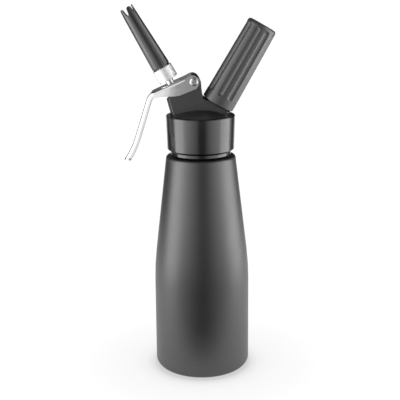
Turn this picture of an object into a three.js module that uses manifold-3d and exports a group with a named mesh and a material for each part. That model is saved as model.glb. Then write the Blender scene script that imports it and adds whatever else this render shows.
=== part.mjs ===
// Whipped cream dispenser: a lacquered aluminium bottle with a screwed head. The head carries a
// squeeze lever, a sprung valve with a toothed nozzle, and a screwed holder for a gas charger.
// Millimetres, +Z up, +X towards the charger holder. The origin is the middle of the foot ring.
import * as THREE from 'three';
import { mergeVertices } from 'three/addons/utils/BufferGeometryUtils.js';
import Module from 'manifold-3d';

const wasm = await Module();
wasm.setup();

// Clearances
const seatGap = 0.3;
const threadGap = 0.4;
const cutOverrun = 2;

// Bottle
const bottleRadius = 39.5;
const bottleWall = 1.5;
const bottleFootRound = 5;
const footRingInnerRadius = 30.5;
const baseHollowRise = 3;
const coneFootHeight = 90;
const coneFootBlend = 230;
const shoulderHeight = 185.8;
const shoulderRadius = 28.1;
const shoulderRound = 2.6;
const neckRadius = 21.8;
const neckWall = 2;
const neckHeight = 23.7;
const neckFootRound = 1.2;
const rimRound = 0.6;

// Gasket between the bottle's rim and the head
const gasketThickness = 1.5;
const gasketWidth = 4.2;

// Grip collar round the head
const collarLift = 1.7;
const collarHeight = 30.3;
const collarTopRadius = 28.3;
const collarFootRadius = 27.5;
const collarTopRound = 1.2;
const collarChamferWidth = 2.8;
const collarChamferHeight = 1.3;
const collarLipHeight = 1.6;
const collarWall = 2.8;

// Head body: skirt, dome, flat middle web, pivot ear and charger boss
const domeSphereRadius = 57;
const headRecessRadius = 16.8;
const headRecessDepth = 3.4;
const webThickness = 18;
const webEdgeRound = 0.8;
const webFootDepth = 2.5;
const webRightReach = 24.2;
const webLeftReach = 22.8;
const webEndLean = 14.9;
const webLeftCornerRound = 3.2;
const webRightCornerRound = 8.6;
const earInnerRadius = 4.2;
const earOuterRadius = 5.8;
const earFootRise = 1.2;
const valleyRound = 1;

// The two arms of the head
const armAxesDrop = 9.1;
const nozzleLean = 30;
const holderLean = 30;

// Valve
const valvePortReach = 38.3;
const bushDepth = 16.3;
const valveSeatDepth = 12.5;
const valveSeatBossRadius = 6.8;
const stemRadius = 3;
const stemBoreRadius = 1.4;
const stemSideHoleRadius = 1;
const stemSideHoleRise = 3.1;
const valveChannelGap = 0.8;
const sealRadius = 5.4;
const sealThickness = 2.7;
const sealSpigotRadius = 1.7;
const sealScrewHeadRadius = 3.8;
const sealScrewHeadHeight = 1.8;
const sealScrewSlotWidth = 1;
const sealScrewSlotDepth = 0.9;
const sealPocketGap = 0.5;
const stemRingWireRadius = 0.6;
const stemRingRise = 7.1;
const stemRingSpacing = 3.2;
const stemRingGrooveDepth = 1;
const bushLength = 7;
const bushRadius = 6.3;
const bushFlatsWidth = 9.6;
const bushFlatsHeight = 2.6;
const pushFlangeRadius = 5.6;
const pushFlangeThickness = 1.9;
const pushFlangeRise = 7.5;
const stemTopRadius = 3.2;

// Valve spring
const springWireRadius = 0.5;
const springCoilRadius = 4.9;
const springTurns = 7;
const springEndPitch = 1.46;
const springStepsPerTurn = 8;
const springSides = 5;

// Adapter ring and nozzle
const adapterRise = 5.5;
const adapterLength = 10.8;
const adapterRadius = 8.3;
const adapterRound = 0.6;
const adapterFloor = 4.6;
const adapterSpigotRadius = 5.9;
const adapterSpigotLength = 5.4;
const adapterWall = 1.4;
const stemSpigotRadius = 2.8;
const stemSpigotLength = 6;
const nozzleSealThickness = 0.5;
const nozzleSealWidth = 1.1;
const nozzleLength = 54;
const nozzleFootRadius = 7.6;
const nozzleTipRadius = 5.55;
const nozzleTipWall = 1.3;
const nozzleFootRound = 0.5;
const nozzleSocketDepth = 6;
const nozzleToothCount = 5;
const nozzleFirstNotchTurn = -17;
const notchDepth = 6.4;
const notchMouthWidth = 4.2;
const notchFootRadius = 1.1;
const notchFootRoundShare = 0.9;
const toothTipRound = 1;

// Charger port, piercing pin and seals
const chargerBossRadius = 12.9;
const chargerBossFace = 27.2;
const portFlangeRadius = 12.3;
const portFlangeThickness = 0.9;
const portThreadRadius = 10.8;
const portThreadLength = 11.4;
const portSpigotRadius = 7.5;
const portSpigotLength = 10;
const portFloorThickness = 1.3;
const portMouthFlare = 2.6;
const portMouthFlareLength = 4;
const pinBodyRadius = 3;
const pinNutRecess = 1.2;
const pinNeedleRadius = 1;
const pinTipLength = 1.4;
const pinReachInCharger = 2.2;
const pinNutLength = 2.2;
const pinNutBoreRadius = 0.9;
const chargerSealThickness = 2;
const gasChannelRadius = 2;
const checkBossRadius = 4.4;
const checkDiscRadius = 3.8;
const checkDiscThickness = 1.5;
const checkStubLength = 3.4;

// Gas charger: the common 8 gram steel bulb
const chargerRadius = 9;
const chargerLength = 65.5;
const chargerNeckRadius = 4.1;
const chargerNeckLength = 8;
const chargerShoulderLength = 8.5;
const chargerWall = 1.3;
const chargerNoseRound = 1;
const chargerShoulderRoundShare = 0.55;

// Charger holder
const holderFootReach = 28.5;
const holderLength = 73.7;
const holderFootRadius = 13.5;
const holderTopRadius = 12.3;
const holderEndRound = 2.6;
const holderFootRound = 0.5;
const holderThreadDepth = 13;
const holderFluteCount = 9;
const holderFirstFluteTurn = -15;
const holderFluteWidth = 5.8;
const holderFluteDepth = 1.15;
const holderFluteFoot = 6;
const holderFluteTop = 3;
const padThickness = 2.2;

// Lever: a folded channel of sheet steel
const pivotRise = 1.87;
const pivotSideReach = 17.42;
const leverSheet = 1.3;
const leverEndRadius = 5.9;
const leverWebTilt = 6;
const leverWebLength = 38;
const leverBendRadius = 11;
const leverArmLean = 17.8;
const leverArmLength = 45.7;
const leverTipLean = 33;
const leverTipLength = 11.4;
const leverTipBend = 70;
const leverArmDepth = 4.3;
const leverTipDepth = 4.9;
const leverCheekTaper = 1.4;
const leverCheekRun = 12;
const leverCheekFade = 18;
const leverFoldRound = 2;
const leverTipHalfWidth = 8.2;
const leverStationStep = 5;
const leverSlotRadius = 4.6;
const leverSideGap = 0.3;

// Pivot screw and nut
const screwRadius = 2;
const screwHeadRadius = 3.1;
const screwHeadHeight = 1.5;
const screwCrossWidth = 0.9;
const screwCrossLength = 3.6;
const screwCrossDepth = 0.8;
const nutRadius = 3.5;
const nutThickness = 2;
const nutSides = 6;

// Facets and merging
const bottleSides = 48;
const collarSides = 48;
const headSides = 40;
const holderSides = 45;
const nozzleSides = 25;
const smallSides = 16;
const tinySides = 12;
const ringTubeSides = 6;
const arcStep = THREE.MathUtils.degToRad(30);
const fineArcStep = THREE.MathUtils.degToRad(10);
const leastArcPieces = 2;
const domePieces = 3;
const bevelPieces = 2;
const weldDistance = 0.0001;

// Levels and places that follow from the sizes
const rimHeight = shoulderHeight + neckHeight;
const collarFoot = shoulderHeight + collarLift;
const collarTop = collarFoot + collarHeight;
const collarInnerRadius = collarFootRadius - collarWall;
const skirtRadius = collarInnerRadius - seatGap;
const skirtInnerRadius = neckRadius + threadGap;
const skirtFoot = collarFoot + collarLipHeight + seatGap;
const gasketFoot = rimHeight + seatGap;
const headCeiling = gasketFoot + gasketThickness + seatGap;
const headRecessTop = headCeiling + headRecessDepth;
const armAxesHeight = headCeiling - armAxesDrop;
const nozzleAngle = THREE.MathUtils.degToRad(nozzleLean);
const holderAngle = THREE.MathUtils.degToRad(holderLean);
const bushReach = valvePortReach - bushDepth;
const valveSeatReach = bushReach - valveSeatDepth;
const stemSideHoleReach = valveSeatReach + stemSideHoleRise;
const stemRingReach = valveSeatReach + stemRingRise;
const pushFlangeReach = valvePortReach + pushFlangeRise;
const adapterFootReach = pushFlangeReach + adapterRise;
const pivotReach = valvePortReach + pivotRise;
const pivotOffset = pivotSideReach * Math.cos(nozzleAngle) - pivotReach * Math.sin(nozzleAngle);
const pivotAboveAxes = pivotReach * Math.cos(nozzleAngle) + pivotSideReach * Math.sin(nozzleAngle);
const pivotHeight = armAxesHeight + pivotAboveAxes;
const checkDiscRise = headRecessTop - seatGap - armAxesHeight - checkDiscRadius * Math.sin(holderAngle);
const checkDiscTop = checkDiscRise / Math.cos(holderAngle);
const checkBossReach = checkDiscTop + seatGap;
const domeRise = domeSphereRadius - Math.sqrt(domeSphereRadius ** 2 - skirtRadius ** 2);
const webFoot = collarTop - webFootDepth;
const webHeight = pivotHeight + earInnerRadius - webFoot;
const webEndShear = Math.tan(THREE.MathUtils.degToRad(webEndLean));
const webEndOverhang = webHeight * webEndShear;
const bushBoreRadius = bushRadius + seatGap;
const leverInnerHalfWidth = webThickness / 2 + leverSideGap;
const leverHalfWidth = leverInnerHalfWidth + leverSheet;
const adapterTop = adapterFootReach + adapterLength;
const nozzleFoot = adapterTop + nozzleSealThickness + 2 * seatGap;
const springFoot = bushReach + seatGap + bushLength + seatGap;
const springTop = pushFlangeReach - pushFlangeThickness - seatGap;
const portFlangeFoot = chargerBossFace + seatGap;
const portFlangeTop = portFlangeFoot + portFlangeThickness;
const portFloorTop = portFlangeTop;
const portSpigotFoot = portFlangeFoot - portSpigotLength;
const pinNutTop = portSpigotFoot + pinNutRecess + pinNutLength;
const chargerSealFoot = portFloorTop + seatGap;
const chargerFoot = chargerSealFoot + chargerSealThickness + seatGap;
const chargerTop = chargerFoot + chargerLength;
const padFoot = chargerTop + seatGap;
const holderBoreTop = padFoot + padThickness + seatGap;
const holderTop = holderFootReach + holderLength;
const holderBoreRadius = chargerRadius + threadGap;

// Shape functions

// Turns [across, up, round] corners into points. A corner with a round becomes an arc.
function rounded(corners, closed = true, step = arcStep) {
  const points = [];
  corners.forEach(([x, y, round = 0], index) => {
    const corner = new THREE.Vector2(x, y);
    const isEnd = !closed && (index === 0 || index === corners.length - 1);
    if (isEnd || round === 0) {
      points.push(corner);
      return;
    }
    const before = corners[(index + corners.length - 1) % corners.length];
    const after = corners[(index + 1) % corners.length];
    const back = new THREE.Vector2(before[0], before[1]).sub(corner).normalize();
    const ahead = new THREE.Vector2(after[0], after[1]).sub(corner).normalize();
    const opening = Math.acos(THREE.MathUtils.clamp(back.dot(ahead), -1, 1));
    const middle = back.clone().add(ahead).normalize().multiplyScalar(round / Math.sin(opening / 2));
    const centre = corner.clone().add(middle);
    const start = corner.clone().addScaledVector(back, round / Math.tan(opening / 2)).sub(centre);
    const turn = (Math.PI - opening) * Math.sign(back.cross(ahead)) * -1;
    const pieces = Math.max(leastArcPieces, Math.ceil(Math.abs(turn) / step));
    for (let piece = 0; piece <= pieces; piece += 1) {
      points.push(start.clone().rotateAround(new THREE.Vector2(), (turn * piece) / pieces).add(centre));
    }
  });
  return points;
}

// A body of revolution about Z from [radius, height] points that run round the section.
function revolved(points, sides) {
  const section = THREE.ShapeUtils.isClockWise(points) ? [...points].reverse() : [...points];
  const touchesAxis = points[0].x === 0 && points[points.length - 1].x === 0;
  if (!touchesAxis) {
    section.push(section[0].clone());
  }
  return new THREE.LatheGeometry(section, sides).rotateX(Math.PI / 2);
}

// A round bar along Z. A second radius makes it taper.
function rod(radius, from, to, sides, topRadius = radius) {
  const bar = new THREE.CylinderGeometry(topRadius, radius, to - from, sides);
  return bar.rotateX(Math.PI / 2).translate(0, 0, (from + to) / 2);
}

// A flat ring or disc about Z.
function washer(outerRadius, innerRadius, from, to, sides) {
  return revolved(rounded([
    [innerRadius, from],
    [outerRadius, from],
    [outerRadius, to],
    [innerRadius, to],
  ]), sides);
}

// An outline of points in X and Z pushed through along Y, centred on Y = 0.
function slab(points, thickness, bevel = 0) {
  const shape = new THREE.Shape(points);
  const plate = new THREE.ExtrudeGeometry(shape, {
    depth: thickness - 2 * bevel,
    bevelEnabled: bevel > 0,
    bevelThickness: bevel,
    bevelSize: bevel,
    bevelOffset: -bevel,
    bevelSegments: bevelPieces,
  });
  return plate.translate(0, 0, bevel - thickness / 2).rotateX(Math.PI / 2);
}

// The same geometry with shared corners merged and no triangle without area.
function welded(geometry) {
  const bare = geometry.clone();
  bare.deleteAttribute('normal');
  bare.deleteAttribute('uv');
  const merged = mergeVertices(bare, weldDistance);
  const index = merged.index.array;
  const kept = [];
  for (let at = 0; at < index.length; at += 3) {
    const [a, b, c] = index.slice(at, at + 3);
    if (a !== b && b !== c && c !== a) {
      kept.push(a, b, c);
    }
  }
  merged.setIndex(kept);
  return merged;
}

function toSolid(geometry) {
  const clean = welded(geometry);
  return new wasm.Manifold(new wasm.Mesh({
    numProp: 3,
    vertProperties: new Float32Array(clean.attributes.position.array),
    triVerts: new Uint32Array(clean.index.array),
  }));
}

function toGeometry(solid) {
  const { vertProperties, triVerts } = solid.getMesh();
  const geometry = new THREE.BufferGeometry();
  geometry.setAttribute('position', new THREE.BufferAttribute(new Float32Array(vertProperties), 3));
  geometry.setIndex([...triVerts]);
  return geometry;
}

function joined(...geometries) {
  return toGeometry(geometries.map(toSolid).reduce((whole, piece) => whole.add(piece)));
}

function cut(geometry, ...cutters) {
  const solids = cutters.map(toSolid);
  return toGeometry(solids.reduce((whole, cutter) => whole.subtract(cutter), toSolid(geometry)));
}

function overlap(first, second) {
  return toGeometry(toSolid(first).intersect(toSolid(second)));
}

// A skin of equal rings of points, closed at both ends with the first and last ring.
function lofted(rings, capContour) {
  const count = rings[0].length;
  const positions = rings.flat().flatMap((point) => [point.x, point.y, point.z]);
  const index = [];
  for (let ring = 0; ring < rings.length - 1; ring += 1) {
    for (let side = 0; side < count; side += 1) {
      const a = ring * count + side;
      const b = ring * count + ((side + 1) % count);
      index.push(a, b, a + count, b, b + count, a + count);
    }
  }
  const last = (rings.length - 1) * count;
  THREE.ShapeUtils.triangulateShape(capContour, []).forEach(([a, b, c]) => {
    index.push(a, c, b, last + a, last + b, last + c);
  });
  const geometry = new THREE.BufferGeometry();
  geometry.setAttribute('position', new THREE.Float32BufferAttribute(positions, 3));
  geometry.setIndex(index);
  return geometry;
}

// The frame of an arm: its local Z runs out along the arm from where the two arms' axes cross.
function armFrame(angle) {
  const turn = new THREE.Matrix4().makeRotationY(angle);
  return new THREE.Matrix4().makeTranslation(0, 0, armAxesHeight).multiply(turn);
}

const nozzleFrame = armFrame(-nozzleAngle);
const holderFrame = armFrame(holderAngle);

function onNozzleArm(geometry) {
  return geometry.applyMatrix4(nozzleFrame);
}

function onHolderArm(geometry) {
  return geometry.applyMatrix4(holderFrame);
}

// Bottle

// A shallow dome from the axis out to a radius, as points that start on the axis.
function domePoints(rise, radius, base) {
  const sphere = (radius ** 2 + rise ** 2) / (2 * rise);
  return Array.from({ length: domePieces + 1 }, (_, piece) => {
    const across = (radius * piece) / domePieces;
    return new THREE.Vector2(across, base + rise - sphere + Math.sqrt(sphere ** 2 - across ** 2));
  });
}

function bottleGeometry() {
  const innerFootRound = bottleFootRound - bottleWall;
  const innerShoulder = shoulderHeight - bottleWall;
  const outside = rounded([
    [footRingInnerRadius, 0],
    [bottleRadius, 0, bottleFootRound],
    [bottleRadius, coneFootHeight, coneFootBlend],
    [shoulderRadius, shoulderHeight, shoulderRound],
    [neckRadius, shoulderHeight, neckFootRound],
    [neckRadius, rimHeight, rimRound],
    [neckRadius - neckWall, rimHeight],
    [neckRadius - neckWall, innerShoulder],
    [shoulderRadius - bottleWall, innerShoulder, shoulderRound],
    [bottleRadius - bottleWall, coneFootHeight, coneFootBlend],
    [bottleRadius - bottleWall, bottleWall, innerFootRound],
    [footRingInnerRadius, bottleWall],
  ], false);
  const underside = domePoints(baseHollowRise, footRingInnerRadius, 0);
  const floor = domePoints(baseHollowRise, footRingInnerRadius, bottleWall).reverse();
  return revolved([...underside, ...outside.slice(1, -1), ...floor], bottleSides);
}

function gasketGeometry() {
  const outer = neckRadius;
  return washer(outer, outer - gasketWidth, gasketFoot, gasketFoot + gasketThickness, headSides);
}

// Head

function collarGeometry() {
  return revolved(rounded([
    [collarFootRadius - collarChamferWidth, collarFoot, rimRound],
    [collarFootRadius, collarFoot + collarChamferHeight, rimRound],
    [collarTopRadius, collarTop, collarTopRound],
    [collarInnerRadius, collarTop],
    [collarInnerRadius, collarFoot + collarLipHeight],
    [skirtInnerRadius, collarFoot + collarLipHeight],
    [skirtInnerRadius, collarFoot],
  ]), collarSides);
}

function headShell() {
  const dome = domePoints(domeRise, skirtRadius, collarTop).reverse().slice(1);
  const sides = rounded([
    [0, skirtFoot],
    [skirtRadius, skirtFoot],
    [skirtRadius, collarTop],
  ], false);
  return revolved([...sides, ...dome], headSides);
}

// The flat middle of the head, from the nozzle's port to the charger's boss, with the pivot ear.
function headWebOutline() {
  const portSlope = Math.tan(nozzleAngle);
  const portMiddle = new THREE.Vector3(0, 0, valvePortReach).applyMatrix4(nozzleFrame);
  const bossMiddle = new THREE.Vector3(0, 0, chargerBossFace).applyMatrix4(holderFrame);
  const bossSlope = Math.tan(holderAngle);
  const earLeft = pivotOffset - earInnerRadius;
  const portHeightAt = (across) => portMiddle.z + (across - portMiddle.x) * portSlope;
  const bossHeightAt = (across) => bossMiddle.z - (across - bossMiddle.x) * bossSlope;
  const farLeft = -webLeftReach - webEndOverhang - cutOverrun;
  const valley = pivotOffset + earOuterRadius + valleyRound;
  return rounded([
    [farLeft, webFoot],
    [webRightReach, webFoot],
    [webRightReach, bossHeightAt(webRightReach) - seatGap],
    [valley, bossHeightAt(valley) - seatGap, valleyRound],
    [pivotOffset + earOuterRadius, pivotHeight - earOuterRadius],
    [pivotOffset + earOuterRadius, pivotHeight + earInnerRadius, earInnerRadius],
    [earLeft, pivotHeight + earInnerRadius, earInnerRadius],
    [earLeft, portHeightAt(earLeft) + earFootRise, earFootRise],
    [earLeft - earFootRise, portHeightAt(earLeft - earFootRise)],
    [farLeft, portHeightAt(farLeft)],
  ]);
}

// The plan of that middle part, rounded at both ends and leaning outwards at the nozzle's end.
function headWebPlan() {
  const half = webThickness / 2;
  const plan = rounded([
    [-webLeftReach, -half, webLeftCornerRound],
    [webRightReach, -half, webRightCornerRound],
    [webRightReach, half, webRightCornerRound],
    [-webLeftReach, half, webLeftCornerRound],
  ]);
  const prism = new THREE.ExtrudeGeometry(new THREE.Shape(plan), { depth: webHeight, bevelEnabled: false });
  const leaning = new THREE.Matrix4().makeShear(0, 0, 0, 0, -webEndShear, 0);
  return prism.applyMatrix4(leaning).translate(0, 0, webFoot);
}

function headWeb() {
  return overlap(slab(headWebOutline(), webThickness, webEdgeRound), headWebPlan());
}

function headCavity() {
  return revolved(rounded([
    [0, skirtFoot - cutOverrun],
    [skirtInnerRadius, skirtFoot - cutOverrun],
    [skirtInnerRadius, headCeiling],
    [headRecessRadius, headCeiling],
    [headRecessRadius, headRecessTop],
    [0, headRecessTop],
  ], false), headSides);
}

function headBodyGeometry() {
  const chargerBoss = onHolderArm(rod(chargerBossRadius, 0, chargerBossFace, headSides));
  const sealPocket = onNozzleArm(rod(sealRadius + sealPocketGap, 0, valveSeatReach, smallSides));
  const solidHead = cut(joined(headShell(), headWeb(), chargerBoss), headCavity(), sealPocket);
  const seatBoss = onNozzleArm(rod(valveSeatBossRadius, valveSeatReach, bushReach, smallSides));
  const portBoreFoot = portSpigotFoot - seatGap;
  const checkBoss = onHolderArm(rod(checkBossRadius, checkBossReach, portBoreFoot, smallSides));
  const channelRadius = stemRadius + valveChannelGap;
  return cut(
    joined(solidHead, seatBoss, checkBoss),
    onNozzleArm(rod(channelRadius, valveSeatReach - cutOverrun, bushReach + cutOverrun, smallSides)),
    onNozzleArm(rod(bushBoreRadius, bushReach, valvePortReach + cutOverrun, smallSides)),
    onHolderArm(rod(gasChannelRadius, checkBossReach - cutOverrun, portBoreFoot + cutOverrun, tinySides)),
    onHolderArm(rod(portSpigotRadius + seatGap, portBoreFoot, chargerBossFace + cutOverrun, smallSides)),
    rod(screwRadius + seatGap, -webThickness, webThickness, tinySides)
      .rotateX(Math.PI / 2).translate(pivotOffset, 0, pivotHeight),
  );
}

// Valve

function valveStemGeometry() {
  const groove = stemRadius - stemRingGrooveDepth;
  const halfGroove = stemRingWireRadius + seatGap;
  const grooveCorners = (reach) => [
    [stemRadius, reach - halfGroove],
    [groove, reach - halfGroove],
    [groove, reach + halfGroove],
    [stemRadius, reach + halfGroove],
  ];
  const sealFoot = valveSeatReach - seatGap - sealThickness;
  const stemTop = adapterFootReach + stemSpigotLength;
  const profile = rounded([
    [0, sealFoot],
    [sealSpigotRadius, sealFoot],
    [sealSpigotRadius, valveSeatReach],
    [stemRadius, valveSeatReach],
    ...grooveCorners(stemRingReach),
    ...grooveCorners(stemRingReach + stemRingSpacing),
    [stemRadius, pushFlangeReach - pushFlangeThickness],
    [pushFlangeRadius, pushFlangeReach - pushFlangeThickness, rimRound],
    [pushFlangeRadius, pushFlangeReach, rimRound],
    [stemTopRadius, pushFlangeReach],
    [stemTopRadius, adapterFootReach - seatGap],
    [stemSpigotRadius, adapterFootReach - seatGap],
    [stemSpigotRadius, stemTop],
    [stemBoreRadius, stemTop],
    [stemBoreRadius, stemSideHoleReach - stemSideHoleRadius],
    [0, stemSideHoleReach - stemSideHoleRadius],
  ], false);
  const sideHole = rod(stemSideHoleRadius, -stemRadius - cutOverrun, stemRadius + cutOverrun, tinySides);
  return cut(
    revolved(profile, smallSides),
    sideHole.clone().rotateX(Math.PI / 2).translate(0, 0, stemSideHoleReach),
    sideHole.clone().rotateY(Math.PI / 2).translate(0, 0, stemSideHoleReach),
  );
}

function stemRingGeometry(reach) {
  const ring = new THREE.TorusGeometry(stemRadius, stemRingWireRadius, ringTubeSides, smallSides);
  return ring.translate(0, 0, reach);
}

function valveSealGeometry() {
  const top = valveSeatReach - seatGap;
  return washer(sealRadius, sealSpigotRadius + seatGap, top - sealThickness, top, smallSides);
}

function sealScrewGeometry() {
  const top = valveSeatReach - sealThickness - 2 * seatGap;
  const foot = top - sealScrewHeadHeight;
  const head = revolved(rounded([
    [0, foot],
    [sealScrewHeadRadius, foot, rimRound],
    [sealScrewHeadRadius, top],
    [0, top],
  ], false), smallSides);
  const slotLength = 2 * sealScrewHeadRadius + cutOverrun;
  const slot = new THREE.BoxGeometry(slotLength, sealScrewSlotWidth, 2 * sealScrewSlotDepth);
  return cut(head, slot.translate(0, 0, foot));
}

// The bush that guides the stem and carries the spring, with two flats for a spanner.
function valveBushGeometry() {
  const foot = bushReach + seatGap;
  const top = foot + bushLength;
  const body = washer(bushRadius, stemRadius + seatGap, foot, top, smallSides);
  const flats = [-1, 1].map((side) => {
    const block = new THREE.BoxGeometry(2 * bushRadius, bushRadius, 2 * bushFlatsHeight);
    return block.translate(0, (side * (bushFlatsWidth + bushRadius)) / 2, top);
  });
  return cut(body, ...flats);
}

// A coil spring as one unbroken wire, with its end turns wound close.
function springPath() {
  const height = springTop - springFoot - 2 * springWireRadius;
  const openPitch = (height - 2 * springEndPitch) / (springTurns - 2);
  const steps = springTurns * springStepsPerTurn;
  return Array.from({ length: steps + 1 }, (_, step) => {
    const turn = step / springStepsPerTurn;
    const close = Math.min(turn, 1) + Math.max(turn - springTurns + 1, 0);
    const rise = close * springEndPitch + (turn - close) * openPitch;
    const angle = turn * Math.PI * 2;
    return new THREE.Vector3(
      springCoilRadius * Math.cos(angle),
      springCoilRadius * Math.sin(angle),
      springFoot + springWireRadius + rise,
    );
  });
}

function valveSpringGeometry() {
  const path = springPath();
  const ring = (at) => Array.from({ length: springSides }, (_, side) => {
    const angle = (side / springSides) * Math.PI * 2;
    const outward = new THREE.Vector3(at.x, at.y, 0).normalize();
    const upward = new THREE.Vector3(0, 0, 1);
    return at.clone()
      .addScaledVector(outward, springWireRadius * Math.cos(angle))
      .addScaledVector(upward, -springWireRadius * Math.sin(angle));
  });
  const cap = Array.from({ length: springSides }, (_, side) => {
    const angle = (side / springSides) * Math.PI * 2;
    return new THREE.Vector2(Math.cos(angle), Math.sin(angle));
  });
  return lofted(path.map(ring), cap);
}

// The least free space between two parts of the wire that are half a turn or more apart.
function springSelfGap() {
  const path = springPath();
  let least = Infinity;
  path.forEach((point, index) => {
    for (let other = index + springStepsPerTurn / 2; other < path.length; other += 1) {
      least = Math.min(least, point.distanceTo(path[other]));
    }
  });
  return least - 2 * springWireRadius;
}

// Adapter ring and nozzle

function adapterGeometry() {
  const floorTop = adapterFootReach + adapterFloor;
  const spigotTop = adapterTop + adapterSpigotLength;
  const bore = adapterSpigotRadius - adapterWall;
  return revolved(rounded([
    [stemSpigotRadius + seatGap, adapterFootReach],
    [adapterRadius, adapterFootReach, adapterRound],
    [adapterRadius, adapterTop, adapterRound],
    [adapterSpigotRadius, adapterTop],
    [adapterSpigotRadius, spigotTop],
    [bore, spigotTop],
    [bore, floorTop],
    [stemSpigotRadius + seatGap, floorTop],
  ]), nozzleSides);
}

function nozzleSealGeometry() {
  const inner = adapterSpigotRadius + seatGap;
  const foot = adapterTop + seatGap;
  return washer(inner + nozzleSealWidth, inner, foot, foot + nozzleSealThickness, nozzleSides);
}

// One notch between two teeth: a slot that widens to the tip, cut straight out through the wall.
function notchCutter(turn) {
  const tip = nozzleFoot + nozzleLength;
  const foot = tip - notchDepth;
  const half = notchMouthWidth / 2;
  const notchFootRound = notchFootRadius * notchFootRoundShare;
  const flare = (half - notchFootRadius) / notchDepth;
  const top = tip + cutOverrun;
  const points = rounded([
    [-notchFootRadius, foot, notchFootRound],
    [notchFootRadius, foot, notchFootRound],
    [notchFootRadius + flare * (notchDepth - toothTipRound), tip - toothTipRound, toothTipRound],
    [half + toothTipRound, tip],
    [half + toothTipRound, top],
    [-half - toothTipRound, top],
    [-half - toothTipRound, tip],
    [-notchFootRadius - flare * (notchDepth - toothTipRound), tip - toothTipRound, toothTipRound],
  ]);
  const wedge = slab(points, nozzleFootRadius * 2).translate(0, -nozzleFootRadius, 0);
  return wedge.rotateZ(THREE.MathUtils.degToRad(turn));
}

function nozzleGeometry() {
  const tip = nozzleFoot + nozzleLength;
  const socketTop = nozzleFoot + nozzleSocketDepth;
  const bore = adapterSpigotRadius - adapterWall;
  const body = revolved(rounded([
    [adapterSpigotRadius + seatGap, nozzleFoot],
    [nozzleFootRadius, nozzleFoot, nozzleFootRound],
    [nozzleTipRadius, tip, nozzleFootRound],
    [nozzleTipRadius - nozzleTipWall, tip],
    [bore, socketTop],
    [adapterSpigotRadius + seatGap, socketTop],
  ]), nozzleSides);
  const notches = Array.from({ length: nozzleToothCount }, (_, tooth) => (
    notchCutter(nozzleFirstNotchTurn + (tooth * 360) / nozzleToothCount)
  ));
  return cut(body, ...notches);
}

// Charger port and what it holds

function chargerPortGeometry() {
  const threadTop = portFlangeTop + portThreadLength;
  const pinBore = pinBodyRadius + seatGap;
  const neckBore = chargerNeckRadius + threadGap;
  return revolved(rounded([
    [pinBore, portSpigotFoot],
    [portSpigotRadius, portSpigotFoot],
    [portSpigotRadius, portFlangeFoot],
    [portFlangeRadius, portFlangeFoot],
    [portFlangeRadius, portFlangeTop],
    [portThreadRadius, portFlangeTop],
    [portThreadRadius, threadTop, rimRound],
    [neckBore + portMouthFlare, threadTop],
    [neckBore, threadTop - portMouthFlareLength],
    [neckBore, portFloorTop],
    [pinNeedleRadius + seatGap, portFloorTop],
    [pinNeedleRadius + seatGap, portFloorTop - portFloorThickness],
    [pinBore, portFloorTop - portFloorThickness],
  ]), smallSides + smallSides / 2);
}

function piercingPinGeometry() {
  const shoulder = portFloorTop - portFloorThickness - seatGap;
  const foot = pinNutTop + seatGap;
  const tip = chargerFoot + pinReachInCharger;
  return revolved(rounded([
    [0, foot],
    [pinBodyRadius, foot],
    [pinBodyRadius, shoulder],
    [pinNeedleRadius, shoulder],
    [pinNeedleRadius, tip - pinTipLength],
    [0, tip],
  ], false), tinySides);
}

function pinNutGeometry() {
  return washer(pinBodyRadius, pinNutBoreRadius, pinNutTop - pinNutLength, pinNutTop, tinySides);
}

function chargerSealGeometry() {
  const outer = chargerNeckRadius;
  const inner = pinNeedleRadius + seatGap;
  return washer(outer, inner, chargerSealFoot, chargerSealFoot + chargerSealThickness, smallSides);
}

function checkValveGeometry() {
  const discFoot = checkDiscTop - checkDiscThickness;
  const stub = gasChannelRadius - seatGap;
  return revolved(rounded([
    [0, discFoot],
    [checkDiscRadius, discFoot, rimRound],
    [checkDiscRadius, checkDiscTop],
    [stub, checkDiscTop],
    [stub, checkDiscTop + checkStubLength],
    [0, checkDiscTop + checkStubLength],
  ], false), tinySides);
}

// Gas charger and its holder

function chargerGeometry() {
  const neckTop = chargerFoot + chargerNeckLength;
  const bodyFoot = neckTop + chargerShoulderLength;
  const inside = chargerRadius - chargerWall;
  const neckInside = pinNeedleRadius + seatGap;
  const shoulderRound = chargerShoulderLength * chargerShoulderRoundShare;
  return revolved(rounded([
    [neckInside, chargerFoot],
    [chargerNeckRadius, chargerFoot, chargerNoseRound],
    [chargerNeckRadius, neckTop, shoulderRound],
    [chargerRadius, bodyFoot, shoulderRound],
    [chargerRadius, chargerTop, chargerRadius - seatGap],
    [0, chargerTop],
    [0, chargerTop - chargerWall],
    [inside, chargerTop - chargerWall, inside - seatGap],
    [inside, bodyFoot + chargerWall, shoulderRound],
    [neckInside, neckTop + chargerWall],
  ]), smallSides + smallSides / 2);
}

function fluteCutter(turn) {
  const half = holderFluteWidth / 2;
  const radius = (half ** 2 + holderFluteDepth ** 2) / (2 * holderFluteDepth);
  const foot = holderFootReach + holderFluteFoot;
  const top = holderTop - holderFluteTop;
  const taper = (holderFootRadius - holderTopRadius) / holderLength;
  const outsideAt = (reach) => holderFootRadius - taper * (reach - holderFootReach);
  const centreAt = (reach) => outsideAt(reach) + radius - holderFluteDepth;
  const bar = rod(radius, foot + half, top - half, smallSides);
  const ends = [foot + half, top - half].map((reach) => {
    const ball = new THREE.SphereGeometry(radius, smallSides, ringTubeSides);
    return ball.rotateX(Math.PI / 2).scale(1, 1, half / radius).translate(0, 0, reach);
  });
  const cutter = joined(bar, ...ends);
  const lean = new THREE.Matrix4().makeShear(0, 0, 0, 0, 0, taper);
  return cutter.applyMatrix4(lean)
    .translate(0, -centreAt(0), 0)
    .rotateZ(THREE.MathUtils.degToRad(turn));
}

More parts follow.
